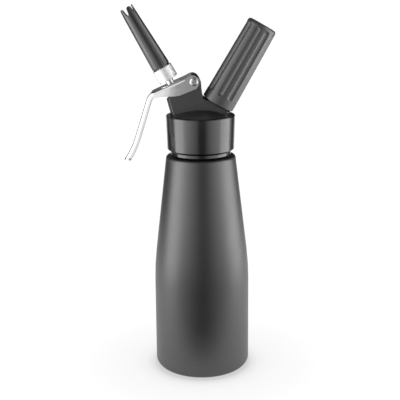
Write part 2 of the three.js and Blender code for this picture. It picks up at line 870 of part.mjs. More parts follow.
function holderGeometry() {
  const threadTop = holderFootReach + holderThreadDepth;
  const threadBore = portThreadRadius + threadGap;
  const body = revolved(rounded([
    [threadBore, holderFootReach],
    [holderFootRadius, holderFootReach, holderFootRound],
    [holderTopRadius, holderTop, holderEndRound],
    [0, holderTop],
    [0, holderBoreTop],
    [holderBoreRadius, holderBoreTop],
    [holderBoreRadius, threadTop + threadBore - holderBoreRadius],
    [threadBore, threadTop],
  ]), holderSides);
  const flutes = Array.from({ length: holderFluteCount }, (_, flute) => (
    fluteCutter(holderFirstFluteTurn + (flute * 360) / holderFluteCount)
  ));
  return cut(body, ...flutes);
}

function padGeometry() {
  return washer(holderBoreRadius - seatGap, chargerWall, padFoot, padFoot + padThickness, smallSides);
}

// Lever

// The outer line of the lever's back, in X and Z, from the pivot end to the tip.
function leverLine() {
  const along = (from, direction, length) => from.clone().addScaledVector(direction, length);
  const slope = THREE.MathUtils.degToRad(nozzleLean - leverWebTilt);
  const armLean = THREE.MathUtils.degToRad(leverArmLean);
  const tipLean = THREE.MathUtils.degToRad(leverTipLean);
  const pivot = new THREE.Vector2(pivotOffset, pivotHeight);
  const foot = along(pivot, new THREE.Vector2(-Math.sin(slope), Math.cos(slope)), leverEndRadius);
  const bend = along(foot, new THREE.Vector2(-Math.cos(slope), -Math.sin(slope)), leverWebLength);
  const knee = along(bend, new THREE.Vector2(-Math.sin(armLean), -Math.cos(armLean)), leverArmLength);
  const tip = along(knee, new THREE.Vector2(-Math.sin(tipLean), -Math.cos(tipLean)), leverTipLength);
  return rounded([
    [foot.x, foot.y],
    [bend.x, bend.y, leverBendRadius],
    [knee.x, knee.y, leverTipBend],
    [tip.x, tip.y],
  ], false, fineArcStep);
}

function subdivided(points, longest) {
  const result = [points[0]];
  points.slice(1).forEach((point, index) => {
    const start = points[index];
    const pieces = Math.ceil(start.distanceTo(point) / longest);
    for (let piece = 1; piece <= pieces; piece += 1) {
      result.push(start.clone().lerp(point, piece / pieces));
    }
  });
  return result;
}

function leverDepthAt(travelled, whole) {
  const cheek = 2 * leverEndRadius - (leverCheekTaper * travelled) / leverCheekRun;
  const fade = THREE.MathUtils.smoothstep(travelled, leverCheekRun, leverCheekRun + leverCheekFade);
  const arm = THREE.MathUtils.lerp(leverArmDepth, leverTipDepth, travelled / whole);
  return THREE.MathUtils.lerp(cheek, arm, fade);
}

function leverHalfWidthAt(travelled, whole) {
  const start = leverWebLength;
  const share = THREE.MathUtils.clamp((travelled - start) / (whole - start), 0, 1);
  return THREE.MathUtils.lerp(leverHalfWidth, leverTipHalfWidth, share);
}

// The folded channel's section: across the lever, and inwards from its back.
function channelSection(half, depth) {
  const innerFold = leverFoldRound - leverSheet;
  return rounded([
    [-half, depth],
    [-half, 0, leverFoldRound],
    [half, 0, leverFoldRound],
    [half, depth],
    [half - leverSheet, depth],
    [half - leverSheet, leverSheet, innerFold],
    [-half + leverSheet, leverSheet, innerFold],
    [-half + leverSheet, depth],
  ]);
}

function leverChannel() {
  const line = subdivided(leverLine(), leverStationStep);
  const whole = line.slice(1).reduce((sum, point, index) => sum + point.distanceTo(line[index]), 0);
  let travelled = 0;
  let firstSection = null;
  const rings = line.map((point, index) => {
    const before = line[Math.max(index - 1, 0)];
    const after = line[Math.min(index + 1, line.length - 1)];
    travelled += index > 0 ? point.distanceTo(before) : 0;
    const ahead = after.clone().sub(before).normalize();
    const inward = new THREE.Vector2(-ahead.y, ahead.x);
    const section = channelSection(leverHalfWidthAt(travelled, whole), leverDepthAt(travelled, whole));
    firstSection = firstSection ?? section;
    return section.map((spot) => new THREE.Vector3(
      point.x + inward.x * spot.y,
      spot.x,
      point.y + inward.y * spot.y,
    ));
  });
  return lofted(rings, firstSection);
}

function leverGeometry() {
  const eyes = [-1, 1].map((side) => {
    const eye = rod(leverEndRadius, -leverSheet / 2, leverSheet / 2, headSides).rotateX(Math.PI / 2);
    return eye.translate(pivotOffset, side * (leverHalfWidth - leverSheet / 2), pivotHeight);
  });
  const holeEnd = leverHalfWidth + cutOverrun;
  const pivotHole = rod(screwRadius + seatGap, -holeEnd, holeEnd, tinySides)
    .rotateX(Math.PI / 2).translate(pivotOffset, 0, pivotHeight);
  const slotFoot = pushFlangeReach - cutOverrun;
  const stemSlot = onNozzleArm(rod(leverSlotRadius, slotFoot, adapterFootReach, smallSides));
  return cut(joined(leverChannel(), ...eyes), pivotHole, stemSlot);
}

// Pivot screw and nut, made upright and laid along Y with the head at the front

function pivotScrewGeometry() {
  const headFoot = leverHalfWidth + seatGap;
  const headTop = headFoot + screwHeadHeight;
  const shankEnd = -(headFoot + nutThickness);
  const body = revolved(rounded([
    [0, shankEnd],
    [screwRadius, shankEnd, rimRound],
    [screwRadius, headFoot],
    [screwHeadRadius, headFoot],
    [screwHeadRadius, headTop, screwHeadHeight - seatGap],
    [0, headTop],
  ], false), smallSides);
  const bars = [[screwCrossLength, screwCrossWidth], [screwCrossWidth, screwCrossLength]].map(([x, y]) => (
    new THREE.BoxGeometry(x, y, 2 * screwCrossDepth).translate(0, 0, headTop)
  ));
  return cut(body, ...bars);
}

function pivotNutGeometry() {
  const top = -(leverHalfWidth + seatGap);
  const nut = rod(nutRadius, top - nutThickness, top, nutSides);
  return cut(nut, rod(screwRadius + seatGap, top - nutThickness - cutOverrun, top + cutOverrun, smallSides));
}

// Finishes

const finishes = {
  blackLacquer: { color: 0x2b2b2d, roughness: 0.42, metalness: 0.55 },
  blackPlastic: { color: 0x3a3b3d, roughness: 0.5, metalness: 0 },
  glossBlack: { color: 0x111112, roughness: 0.3, metalness: 0 },
  greyPlastic: { color: 0x55565a, roughness: 0.55, metalness: 0 },
  steel: { color: 0xd6d8da, roughness: 0.22, metalness: 1 },
  brass: { color: 0xb89a58, roughness: 0.35, metalness: 1 },
  zincSteel: { color: 0xa9acb0, roughness: 0.35, metalness: 1 },
  rubber: { color: 0x1a1a1a, roughness: 0.85, metalness: 0 },
  silicone: { color: 0xc9492f, roughness: 0.7, metalness: 0 },
};

function piece(name, geometry, finish) {
  geometry.computeVertexNormals();
  const mesh = new THREE.Mesh(geometry, new THREE.MeshStandardMaterial(finishes[finish]));
  mesh.name = name;
  return mesh;
}

function armGroup(frame, ...pieces) {
  const arm = new THREE.Group();
  frame.decompose(arm.position, arm.quaternion, arm.scale);
  arm.add(...pieces);
  return arm;
}

const pivotAxle = new THREE.Group();
pivotAxle.position.set(pivotOffset, 0, pivotHeight);
pivotAxle.rotation.x = Math.PI / 2;
pivotAxle.add(
  piece('pivot_screw', pivotScrewGeometry(), 'steel'),
  piece('pivot_nut', pivotNutGeometry(), 'steel'),
);

const group = new THREE.Group();
group.add(
  piece('bottle', bottleGeometry(), 'blackLacquer'),
  piece('head_gasket', gasketGeometry(), 'silicone'),
  piece('head_body', headBodyGeometry(), 'blackPlastic'),
  piece('grip_collar', collarGeometry(), 'blackLacquer'),
  piece('lever', leverGeometry(), 'steel'),
  pivotAxle,
  armGroup(
    nozzleFrame,
    piece('valve_stem', valveStemGeometry(), 'steel'),
    piece('stem_ring_lower', stemRingGeometry(stemRingReach), 'rubber'),
    piece('stem_ring_upper', stemRingGeometry(stemRingReach + stemRingSpacing), 'rubber'),
    piece('valve_seal', valveSealGeometry(), 'rubber'),
    piece('seal_screw', sealScrewGeometry(), 'steel'),
    piece('valve_bush', valveBushGeometry(), 'brass'),
    piece('valve_spring', valveSpringGeometry(), 'steel'),
    piece('nozzle_adapter', adapterGeometry(), 'steel'),
    piece('nozzle_seal', nozzleSealGeometry(), 'rubber'),
    piece('decorating_nozzle', nozzleGeometry(), 'glossBlack'),
  ),
  armGroup(
    holderFrame,
    piece('charger_port', chargerPortGeometry(), 'brass'),
    piece('piercing_pin', piercingPinGeometry(), 'steel'),
    piece('pin_nut', pinNutGeometry(), 'brass'),
    piece('charger_seal', chargerSealGeometry(), 'rubber'),
    piece('check_valve', checkValveGeometry(), 'silicone'),
    piece('gas_charger', chargerGeometry(), 'zincSteel'),
    piece('charger_holder', holderGeometry(), 'greyPlastic'),
    piece('holder_pad', padGeometry(), 'rubber'),
  ),
);

console.log(`Valve spring: least gap to itself ${springSelfGap().toFixed(2)} mm`);

export default group;
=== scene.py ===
import math

import bmesh
import bpy
from mathutils import Matrix, Vector


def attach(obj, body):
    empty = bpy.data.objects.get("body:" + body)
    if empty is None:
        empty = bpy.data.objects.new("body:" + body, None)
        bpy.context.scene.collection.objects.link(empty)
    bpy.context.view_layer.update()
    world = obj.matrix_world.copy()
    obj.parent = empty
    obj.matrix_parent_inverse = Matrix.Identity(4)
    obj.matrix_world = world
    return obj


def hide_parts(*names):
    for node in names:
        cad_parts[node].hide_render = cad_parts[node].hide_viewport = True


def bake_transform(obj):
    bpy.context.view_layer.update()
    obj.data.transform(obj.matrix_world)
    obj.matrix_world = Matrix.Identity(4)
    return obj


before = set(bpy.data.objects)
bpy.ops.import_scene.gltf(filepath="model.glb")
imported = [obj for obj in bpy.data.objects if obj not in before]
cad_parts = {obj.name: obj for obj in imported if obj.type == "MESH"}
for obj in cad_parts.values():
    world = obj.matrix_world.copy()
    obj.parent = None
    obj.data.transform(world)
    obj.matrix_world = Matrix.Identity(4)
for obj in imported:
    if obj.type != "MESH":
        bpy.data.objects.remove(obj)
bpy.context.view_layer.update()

# Lengths are in millimetres and angles in degrees, and the functions that use them change both.
# Only the camera, the floor's size, the lights and the boards have their places in metres.
MM = 0.001
MERGE_DISTANCE = 0.002
ROUND_STEP = 12
FINE_STEP = 6
COARSE_STEP = 30

# Camera

CAMERA_PLACE = (-0.0010, -0.7333, 0.3399)
CAMERA_PITCH = 14.85
CAMERA_ROLL = -0.50
CAMERA_LENS = 81.45
CAMERA_SENSOR = 36
CAMERA_NEAREST = 0.01
CAMERA_FARTHEST = 100

camera_data = bpy.data.cameras.new("camera")
camera_data.lens = CAMERA_LENS
camera_data.sensor_width = CAMERA_SENSOR
camera_data.clip_start = CAMERA_NEAREST
camera_data.clip_end = CAMERA_FARTHEST
camera = bpy.data.objects.new("camera", camera_data)
bpy.context.scene.collection.objects.link(camera)
camera.matrix_world = (
    Matrix.Translation(CAMERA_PLACE)
    @ Matrix.Rotation(math.radians(90 - CAMERA_PITCH), 4, "X")
    @ Matrix.Rotation(math.radians(CAMERA_ROLL), 4, "Z")
)
bpy.context.scene.camera = camera


# Places of the head's two arms and of the lever's pivot

ARM_CROSSING = 202.5
ARM_LEAN = 30


def arm_place(lean):
    """The place of an arm that leans to one side from the point where the two arms cross."""
    return (
        Matrix.Translation((0, 0, ARM_CROSSING * MM))
        @ Matrix.Rotation(math.radians(lean), 4, "Y")
    )


NOZZLE_ARM = arm_place(-ARM_LEAN)
HOLDER_ARM = arm_place(ARM_LEAN)
PIVOT = Vector((-5, 0, 246))
PIVOT_HOLE = 2.3
TURN_TO_Y = Matrix.Rotation(math.pi / 2, 4, "X")
PIVOT_PLACE = Matrix.Translation(PIVOT * MM) @ TURN_TO_Y


# Shaping

def rounded(corners, closed=True, step=ROUND_STEP):
    """Points of an outline of (across, up, round) corners, each round made an arc."""
    points = []
    for index, corner in enumerate(corners):
        here = Vector(corner[:2])
        radius = corner[2] if len(corner) > 2 else 0
        is_end = not closed and index in (0, len(corners) - 1)
        if is_end or radius == 0:
            points.append(here)
            continue
        back = (Vector(corners[index - 1][:2]) - here).normalized()
        ahead = (Vector(corners[(index + 1) % len(corners)][:2]) - here).normalized()
        opening = back.angle(ahead)
        centre = here + (back + ahead).normalized() * radius / math.sin(opening / 2)
        start = here + back * radius / math.tan(opening / 2) - centre
        side = back.x * ahead.y - back.y * ahead.x
        turn = math.copysign(math.pi - opening, -side)
        pieces = max(2, math.ceil(abs(math.degrees(turn)) / step))
        for piece in range(pieces + 1):
            points.append(centre + Matrix.Rotation(turn * piece / pieces, 2) @ start)
    return points


def loop_of(bm, points):
    """Corners and edges of a closed loop through points."""
    corners = [bm.verts.new(point) for point in points]
    edges = [bm.edges.new(pair) for pair in zip(corners, corners[1:] + corners[:1])]
    return corners, edges


def settled(bm):
    """The same mesh with its doubles merged and its faces turned outwards."""
    bmesh.ops.remove_doubles(bm, verts=bm.verts, dist=MERGE_DISTANCE * MM)
    bmesh.ops.recalc_face_normals(bm, faces=bm.faces)
    return bm


def turned(points, sides=96):
    """A piece turned about the up axis from the (radius, height) points round its section."""
    bm = bmesh.new()
    section = [(x * MM, 0, z * MM) for x, z in points]
    corners, edges = loop_of(bm, section)
    bmesh.ops.spin(
        bm, geom=corners + edges, axis=(0, 0, 1), cent=(0, 0, 0), dvec=(0, 0, 0),
        angle=math.tau, steps=sides, use_merge=True, use_duplicate=False,
    )
    bmesh.ops.remove_doubles(bm, verts=bm.verts, dist=MERGE_DISTANCE * MM)
    on_axis = [edge for edge in bm.edges if not edge.link_faces]
    bmesh.ops.delete(bm, geom=on_axis, context="EDGES")
    bmesh.ops.recalc_face_normals(bm, faces=bm.faces)
    return bm


def bar(radius, start, end, sides=64):
    """A round bar along the up axis."""
    corners = [Vector(corner) for corner in ((0, start), (radius, start), (radius, end), (0, end))]
    return turned(corners, sides)


def coiled(section, runs, steps_per_turn=48):
    """A section of (radius, height) points wound about the up axis.

    Each run is (turns, rise per turn).
    """
    bm = bmesh.new()
    corners, edges = loop_of(bm, [(x * MM, 0, z * MM) for x, z in section])
    geometry = corners + edges
    for turns, pitch in runs:
        steps = round(turns * steps_per_turn)
        made = bmesh.ops.spin(
            bm, geom=geometry, axis=(0, 0, 1), cent=(0, 0, 0),
            dvec=(0, 0, pitch * MM / steps_per_turn), angle=math.tau * turns, steps=steps,
            use_merge=False, use_duplicate=False,
        )
        geometry = made["geom_last"]
    bmesh.ops.holes_fill(bm, edges=[edge for edge in bm.edges if edge.is_boundary], sides=0)
    bmesh.ops.recalc_face_normals(bm, faces=bm.faces)
    return bm


def wire_section(radius, wire, height, sides=16):
    """Points round a wire, at its radius from the axis and at its height."""
    turns = [math.tau * side / sides for side in range(sides)]
    return [
        Vector((radius + wire * math.cos(turn), height + wire * math.sin(turn))) for turn in turns
    ]


def pushed_out(bm, corners, way):
    """Makes a face of the corners into a closed block, pushed out by a vector in metres."""
    face = bm.faces.new(corners)
    made = bmesh.ops.extrude_face_region(bm, geom=[face], use_keep_orig=True)
    far = [item for item in made["geom"] if isinstance(item, bmesh.types.BMVert)]
    bmesh.ops.translate(bm, verts=far, vec=way)
    bmesh.ops.recalc_face_normals(bm, faces=bm.faces)


def box(low, high, foot, top):
    """The outline of a rectangle."""
    return [(low, foot), (high, foot), (high, top), (low, top)]


def slab(points, thickness, rounding=0):
    """An outline of (x, z) points given a thickness along Y, about Y = 0, with its rims rounded."""
    bm = bmesh.new()
    half = thickness / 2 * MM
    corners, _ = loop_of(bm, [(x * MM, -half, z * MM) for x, z in points])
    pushed_out(bm, corners, (0, 2 * half, 0))
    if rounding:
        rims = [edge for edge in bm.edges if abs(edge.verts[0].co.y - edge.verts[1].co.y) < half]
        bmesh.ops.bevel(
            bm, geom=rims, offset=rounding * MM, offset_type="OFFSET", segments=4, profile=0.5,
            affect="EDGES", material=-1, clamp_overlap=True,
        )
    return bm


def moved(bm, place):
    """The same mesh, moved by a matrix."""
    bmesh.ops.transform(bm, matrix=place, verts=bm.verts)
    return bm


def bridged(rings):
    """A closed skin over rings of points, in metres."""
    bm = bmesh.new()
    loops = [loop_of(bm, ring) for ring in rings]
    for (_, first), (_, second) in zip(loops, loops[1:]):
        bmesh.ops.bridge_loops(bm, edges=first + second)
    for corners in (loops[0][0], loops[-1][0]):
        bm.faces.new(corners)
    bmesh.ops.recalc_face_normals(bm, faces=bm.faces)
    return bm


def joined_in_one(*shapes):
    """Separate closed shapes kept in one mesh."""
    whole = bmesh.new()
    for shape in shapes:
        mesh = bpy.data.meshes.new("shape")
        shape.to_mesh(mesh)
        shape.free()
        whole.from_mesh(mesh)
        bpy.data.meshes.remove(mesh)
    return whole


def worked(shape, *steps):
    """A shape with others joined on, cut out or kept in common, each as (operation, other)."""
    def loose(bm):
        mesh = bpy.data.meshes.new("blank")
        bm.to_mesh(mesh)
        bm.free()
        blank = bpy.data.objects.new("blank", mesh)
        bpy.context.scene.collection.objects.link(blank)
        return blank

    base = loose(shape)
    blanks = [base]
    for operation, other in steps:
        tool = loose(other)
        blanks.append(tool)
        change = base.modifiers.new("change", "BOOLEAN")
        change.operation = operation
        change.solver = "EXACT"
        change.object = tool
    result = bmesh.new()
    result.from_object(base, bpy.context.evaluated_depsgraph_get())
    for blank in blanks:
        mesh = blank.data
        bpy.data.objects.remove(blank)
        bpy.data.meshes.remove(mesh)
    return settled(result)


def piece(name, bm, body, nodes, slot, finish, place=None, crease=35, rounding=0, has_flats=False):
    """Makes the mesh a piece that rides on a body, stands for CAD nodes and has a finish.

    Edges sharper than the crease stay sharp, or are rounded where a rounding is given.
    """
    if place is not None:
        moved(bm, place)
    mesh = bpy.data.meshes.new(name)
    bm.to_mesh(mesh)
    bm.free()
    mesh.polygons.foreach_set("use_smooth", [True] * len(mesh.polygons))
    mesh.set_sharp_from_angle(angle=math.radians(crease))
    mesh.materials.append(finish)
    made = bpy.data.objects.new(name, mesh)
    bpy.context.scene.collection.objects.link(made)
    if rounding:
        rim = made.modifiers.new("rim", "BEVEL")
        rim.width = rounding * MM
        rim.segments = 3
        rim.limit_method = "ANGLE"
        rim.angle_limit = math.radians(crease)
        rim.harden_normals = True
    if has_flats:
        shading = made.modifiers.new("flat_faces", "WEIGHTED_NORMAL")
        shading.keep_sharp = True
    if body:
        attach(made, body)
    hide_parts(*nodes)
    return made


# Finishes

# The part of a noise's range over which it changes the colour and the roughness.
SHADE_SPAN = (0.35, 0.65)
GLOSS_SPAN = (0.3, 0.7)


def finish(name, colour, roughness, metallic=0, ior=1.5):
    """A plain finish and its shader, for the detail that the functions below add."""
    material = bpy.data.materials.new(name)
    material.use_nodes = True
    shader = material.node_tree.nodes["Principled BSDF"]
    shader.inputs["Base Color"].default_value = (*colour, 1)
    shader.inputs["Roughness"].default_value = roughness
    shader.inputs["Metallic"].default_value = metallic
    shader.inputs["IOR"].default_value = ior
    return material


def noise(material, scale, stretch=(1, 1, 1), detail=2):
    """A noise on the object's own coordinates, with its scale in marks per millimetre."""
    tree = material.node_tree
    place = tree.nodes.new("ShaderNodeTexCoord")
    mapping = tree.nodes.new("ShaderNodeMapping")
    mapping.inputs["Scale"].default_value = [scale * part / MM for part in stretch]
    tree.links.new(place.outputs["Object"], mapping.inputs["Vector"])
    texture = tree.nodes.new("ShaderNodeTexNoise")
    texture.inputs["Scale"].default_value = 1
    texture.inputs["Detail"].default_value = detail
    tree.links.new(mapping.outputs["Vector"], texture.inputs["Vector"])
    return texture.outputs["Fac"]


def shade_with(material, value, dark, light):
    """Colours the finish from dark to light by a noise."""
    tree = material.node_tree
    ramp = tree.nodes.new("ShaderNodeValToRGB")
    for stop, position, colour in zip(ramp.color_ramp.elements, SHADE_SPAN, (dark, light)):
        stop.position = position
        stop.color = (*colour, 1)
    tree.links.new(value, ramp.inputs["Fac"])
    tree.links.new(ramp.outputs["Color"], tree.nodes["Principled BSDF"].inputs["Base Color"])


def gloss_with(material, value, least, most):
    """Varies the roughness by a noise."""
    tree = material.node_tree
    spread = tree.nodes.new("ShaderNodeMapRange")
    spread.inputs["From Min"].default_value = GLOSS_SPAN[0]
    spread.inputs["From Max"].default_value = GLOSS_SPAN[1]
    spread.inputs["To Min"].default_value = least
    spread.inputs["To Max"].default_value = most
    tree.links.new(value, spread.inputs["Value"])
    tree.links.new(spread.outputs["Result"], tree.nodes["Principled BSDF"].inputs["Roughness"])


def bump_with(material, value, height):
    """Raises the surface by a noise, with its height in millimetres."""
    tree = material.node_tree
    bump = tree.nodes.new("ShaderNodeBump")
    bump.inputs["Distance"].default_value = height * MM
    tree.links.new(value, bump.inputs["Height"])
    tree.links.new(bump.outputs["Normal"], tree.nodes["Principled BSDF"].inputs["Normal"])


def satin_lacquer():
    made = finish("satin_black_lacquer", (0.0008, 0.0008, 0.0008), 0.42, ior=2)
    gloss_with(made, noise(made, 0.05, detail=4), 0.40, 0.44)
    shade_with(made, noise(made, 0.9), (0.0005, 0.0005, 0.0005), (0.0015, 0.0015, 0.0015))
    bump_with(made, noise(made, 1.6, detail=3), 0.006)
    return made


def collar_lacquer():
    made = finish("collar_black_lacquer", (0.0008, 0.0008, 0.0008), 0.2, ior=1.75)
    gloss_with(made, noise(made, 0.08, detail=4), 0.18, 0.23)
    shade_with(made, noise(made, 1.1), (0.0005, 0.0005, 0.0005), (0.0015, 0.0015, 0.0015))
    bump_with(made, noise(made, 1.4, detail=3), 0.004)
    return made


def head_plastic():
    made = finish("moulded_black_plastic", (0.007, 0.007, 0.007), 0.4, ior=2)
    gloss_with(made, noise(made, 0.3, detail=4), 0.36, 0.42)
    shade_with(made, noise(made, 0.6), (0.006, 0.006, 0.006), (0.008, 0.008, 0.008))
    bump_with(made, noise(made, 2.4, detail=2), 0.003)
    return made


def nozzle_plastic():
    made = finish("glossy_black_plastic", (0.022, 0.022, 0.022), 0.28, ior=1.8)
    gloss_with(made, noise(made, 0.25, detail=3), 0.26, 0.33)
    shade_with(made, noise(made, 0.8), (0.019, 0.019, 0.019), (0.025, 0.025, 0.025))
    bump_with(made, noise(made, 0.7, detail=1), 0.002)
    return made


def holder_plastic():
    made = finish("satin_grey_plastic", (0.05, 0.05, 0.05), 0.38, ior=1.75)
    gloss_with(made, noise(made, 0.3, detail=3), 0.36, 0.41)
    shade_with(made, noise(made, 0.5), (0.045, 0.045, 0.045), (0.055, 0.055, 0.055))
    bump_with(made, noise(made, 2.6, detail=2), 0.0008)
    return made


def polished_steel():
    made = finish("polished_steel", (0.91, 0.91, 0.91), 0.13, metallic=1)
    hairlines = noise(made, 1.0, stretch=(0.25, 9, 0.25), detail=3)
    gloss_with(made, hairlines, 0.11, 0.16)
    shade_with(made, noise(made, 0.2), (0.89, 0.89, 0.895), (0.93, 0.93, 0.935))
    bump_with(made, hairlines, 0.0003)
    return made


def blasted_steel():
    made = finish("satin_steel", (0.92, 0.92, 0.92), 0.5, metallic=1)
    grain = noise(made, 3, detail=2)
    gloss_with(made, grain, 0.46, 0.56)
    shade_with(made, grain, (0.90, 0.90, 0.905), (0.94, 0.94, 0.945))
    bump_with(made, grain, 0.001)
    return made


def plain_steel():
    made = finish("turned_steel", (0.72, 0.72, 0.725), 0.24, metallic=1)
    rings = noise(made, 1.0, stretch=(0.6, 0.6, 8), detail=2)
    gloss_with(made, rings, 0.20, 0.30)
    shade_with(made, noise(made, 0.3), (0.69, 0.69, 0.70), (0.74, 0.74, 0.745))
    bump_with(made, rings, 0.002)
    return made


def zinc_steel():
    made = finish("zinc_plated_steel", (0.52, 0.53, 0.55), 0.34, metallic=1)
    gloss_with(made, noise(made, 0.4, detail=5), 0.28, 0.42)
    shade_with(made, noise(made, 0.35, detail=4), (0.47, 0.48, 0.50), (0.58, 0.59, 0.60))
    bump_with(made, noise(made, 2.5), 0.004)
    return made


def turned_brass():
    made = finish("turned_brass", (0.62, 0.47, 0.22), 0.3, metallic=1)
    rings = noise(made, 1.0, stretch=(0.6, 0.6, 7), detail=2)
    gloss_with(made, rings, 0.24, 0.36)
    shade_with(made, noise(made, 0.3), (0.58, 0.43, 0.19), (0.66, 0.50, 0.25))
    bump_with(made, rings, 0.002)
    return made


# Brass coloured near black as painted shade, for the dark gap between the holder and the boss.
def brass_darkened_as_gap_shade():
    made = finish("brass_darkened_as_gap_shade", (0.03, 0.026, 0.02), 0.42, metallic=0.6)
    rings = noise(made, 1.0, stretch=(0.6, 0.6, 7), detail=2)
    gloss_with(made, rings, 0.36, 0.50)
    shade_with(made, noise(made, 0.3), (0.024, 0.020, 0.015), (0.036, 0.031, 0.024))
    bump_with(made, rings, 0.002)
    return made


def black_rubber():
    made = finish("black_rubber", (0.016, 0.016, 0.017), 0.75)
    gloss_with(made, noise(made, 0.8, detail=3), 0.68, 0.82)
    shade_with(made, noise(made, 0.9), (0.013, 0.013, 0.014), (0.020, 0.020, 0.021))
    bump_with(made, noise(made, 4.0), 0.010)
    return made


def red_silicone():
    made = finish("red_silicone", (0.50, 0.075, 0.035), 0.55)
    made.node_tree.nodes["Principled BSDF"].inputs["Subsurface Weight"].default_value = 0.1
    made.node_tree.nodes["Principled BSDF"].inputs["Subsurface Scale"].default_value = 0.001
    gloss_with(made, noise(made, 0.8, detail=3), 0.50, 0.62)
    shade_with(made, noise(made, 0.5), (0.46, 0.065, 0.030), (0.54, 0.085, 0.042))
    bump_with(made, noise(made, 2.2), 0.006)
    return made


lacquer = satin_lacquer()
gloss_lacquer = collar_lacquer()
black_plastic = head_plastic()
gloss_plastic = nozzle_plastic()
grey_plastic = holder_plastic()
polished = polished_steel()
blasted = blasted_steel()
steel = plain_steel()
zinc = zinc_steel()
brass = turned_brass()
gap_shade_brass = brass_darkened_as_gap_shade()
rubber = black_rubber()
silicone = red_silicone()


# Bottle

BOTTLE_WALL = 1.5
BASE_RADIUS = 40
BASE_ROUND = 6.6
HOLLOW_RADIUS = 30.8
HOLLOW_RISE = 3
TAPER_FOOT = 90
TAPER_FOOT_RADIUS = 39.8
TAPER_FOOT_ROUND = 230
SHOULDER_HEIGHT = 184.2
SHOULDER_RADIUS = 28.6
NECK_RADIUS = 21.0
NECK_INSIDE = 19.8
RIM_RADIUS = 21.8
RIM_HEIGHT = 209.5
NECK_THREAD_RADIUS = 21.75
NECK_THREAD_TURNS = 3.2
NECK_THREAD_PITCH = 4
THREAD_ROOT = 0.4


def dome_points(rise, radius, base, pieces=12):
    """A shallow dome from the axis out to a radius."""
    sphere = (radius ** 2 + rise ** 2) / (2 * rise)
    middle = base + rise - sphere
    spots = [radius * piece / pieces for piece in range(pieces + 1)]
    return [Vector((spot, middle + math.sqrt(sphere ** 2 - spot ** 2))) for spot in spots]


def neck_thread():
    """One raised thread round the neck, wound up the wall."""
    wall, root, crest = NECK_RADIUS, NECK_RADIUS - THREAD_ROOT, NECK_THREAD_RADIUS
    ridge = [
        (root, 191.2), (wall, 191.4), (crest, 191.9), (crest, 192.3), (wall, 192.8), (root, 193.0),
    ]
    return coiled(ridge, [(NECK_THREAD_TURNS, NECK_THREAD_PITCH)], 96)


def bottle():
    wall = BOTTLE_WALL
    shoulder_inside = SHOULDER_HEIGHT - wall
    outside = rounded([
        (HOLLOW_RADIUS, 0), (BASE_RADIUS, 0, BASE_ROUND),
        (TAPER_FOOT_RADIUS, TAPER_FOOT, TAPER_FOOT_ROUND),
        (SHOULDER_RADIUS, SHOULDER_HEIGHT, 2.2), (NECK_RADIUS, SHOULDER_HEIGHT, 1.2),
        (NECK_RADIUS, 190), (NECK_RADIUS, 206), (RIM_RADIUS, 206.6), (RIM_RADIUS, RIM_HEIGHT, 0.6),
        (NECK_INSIDE, RIM_HEIGHT, 0.4), (NECK_INSIDE, shoulder_inside),
        (SHOULDER_RADIUS - wall, shoulder_inside, 2.6),
        (TAPER_FOOT_RADIUS - wall, TAPER_FOOT, TAPER_FOOT_ROUND),
        (BASE_RADIUS - wall, wall, BASE_ROUND - wall), (HOLLOW_RADIUS, wall),
    ], closed=False, step=FINE_STEP)
    underside = dome_points(HOLLOW_RISE, HOLLOW_RADIUS, 0)
    floor = dome_points(HOLLOW_RISE, HOLLOW_RADIUS, wall)
    body = turned(underside + outside[1:-1] + floor[::-1], 144)
    return joined_in_one(body, neck_thread())


piece("bottle_shell", bottle(), "bottle", ["bottle"], "bottle_lacquer", lacquer)


def flat_ring(outer, inner, foot, top, rounding=0.3, sides=96):
    """A washer or bush with rounded edges."""
    corners = [(x, z, rounding) for x, z in box(inner, outer, foot, top)]
    return turned(rounded(corners, step=COARSE_STEP), sides)


piece(
    "neck_gasket", flat_ring(RIM_RADIUS, 17.6, 209.8, 211.3, 0.5),
    "head_lift", ["head_gasket"], "silicone", silicone,
)

# Head

COLLAR_TOP = 217.8
COLLAR_FOOT = 185.6
COLLAR_INSIDE = 24.7
SKIRT_INSIDE = 22.2
SKIRT_RADIUS = 24.4
SKIRT_FOOT = 189.4
DOME_SPHERE = 57
DOME_PIECES = 16
WEB_THICKNESS = 18
WEB_RIGHT = 24.2
WEB_LEFT = -50
WEB_FOOT = 214
WEB_HEIGHT = 38
WEB_END_LEAN = 14.9
NOZZLE_PORT_REACH = 38.3
BOSS_RADIUS = 12.9
BOSS_FACE = 27.2
BOSS_THICKNESS = 17.6
EAR_LEFT = 4.2
EAR_RIGHT = 5.8
EAR_TOP = 3.4


def collar():
    return turned(rounded([
        (24.9, COLLAR_FOOT, 0.4), (24.8, 188.3, 0.3), (27.5, 190.1, 0.3),
        (28.3, COLLAR_TOP, 0.9), (COLLAR_INSIDE, COLLAR_TOP, 0.3),
        (COLLAR_INSIDE, 189.1), (SKIRT_INSIDE, 189.1, 0.3), (SKIRT_INSIDE, COLLAR_FOOT, 0.3),
    ], step=FINE_STEP), 144)


piece("collar_ring", collar(), "head", ["grip_collar"], "collar_lacquer", gloss_lacquer)


def head_shell():
    """The round skirt inside the collar, closed by a shallow dome."""
    centre = COLLAR_TOP - math.sqrt(DOME_SPHERE ** 2 - SKIRT_RADIUS ** 2)
    spots = [SKIRT_RADIUS * piece / DOME_PIECES for piece in range(DOME_PIECES)]
    dome = [Vector((spot, centre + math.sqrt(DOME_SPHERE ** 2 - spot ** 2))) for spot in spots]
    corners = [(0, SKIRT_FOOT), (SKIRT_RADIUS, SKIRT_FOOT), (SKIRT_RADIUS, COLLAR_TOP)]
    return turned(rounded(corners, closed=False) + dome[::-1], 144)


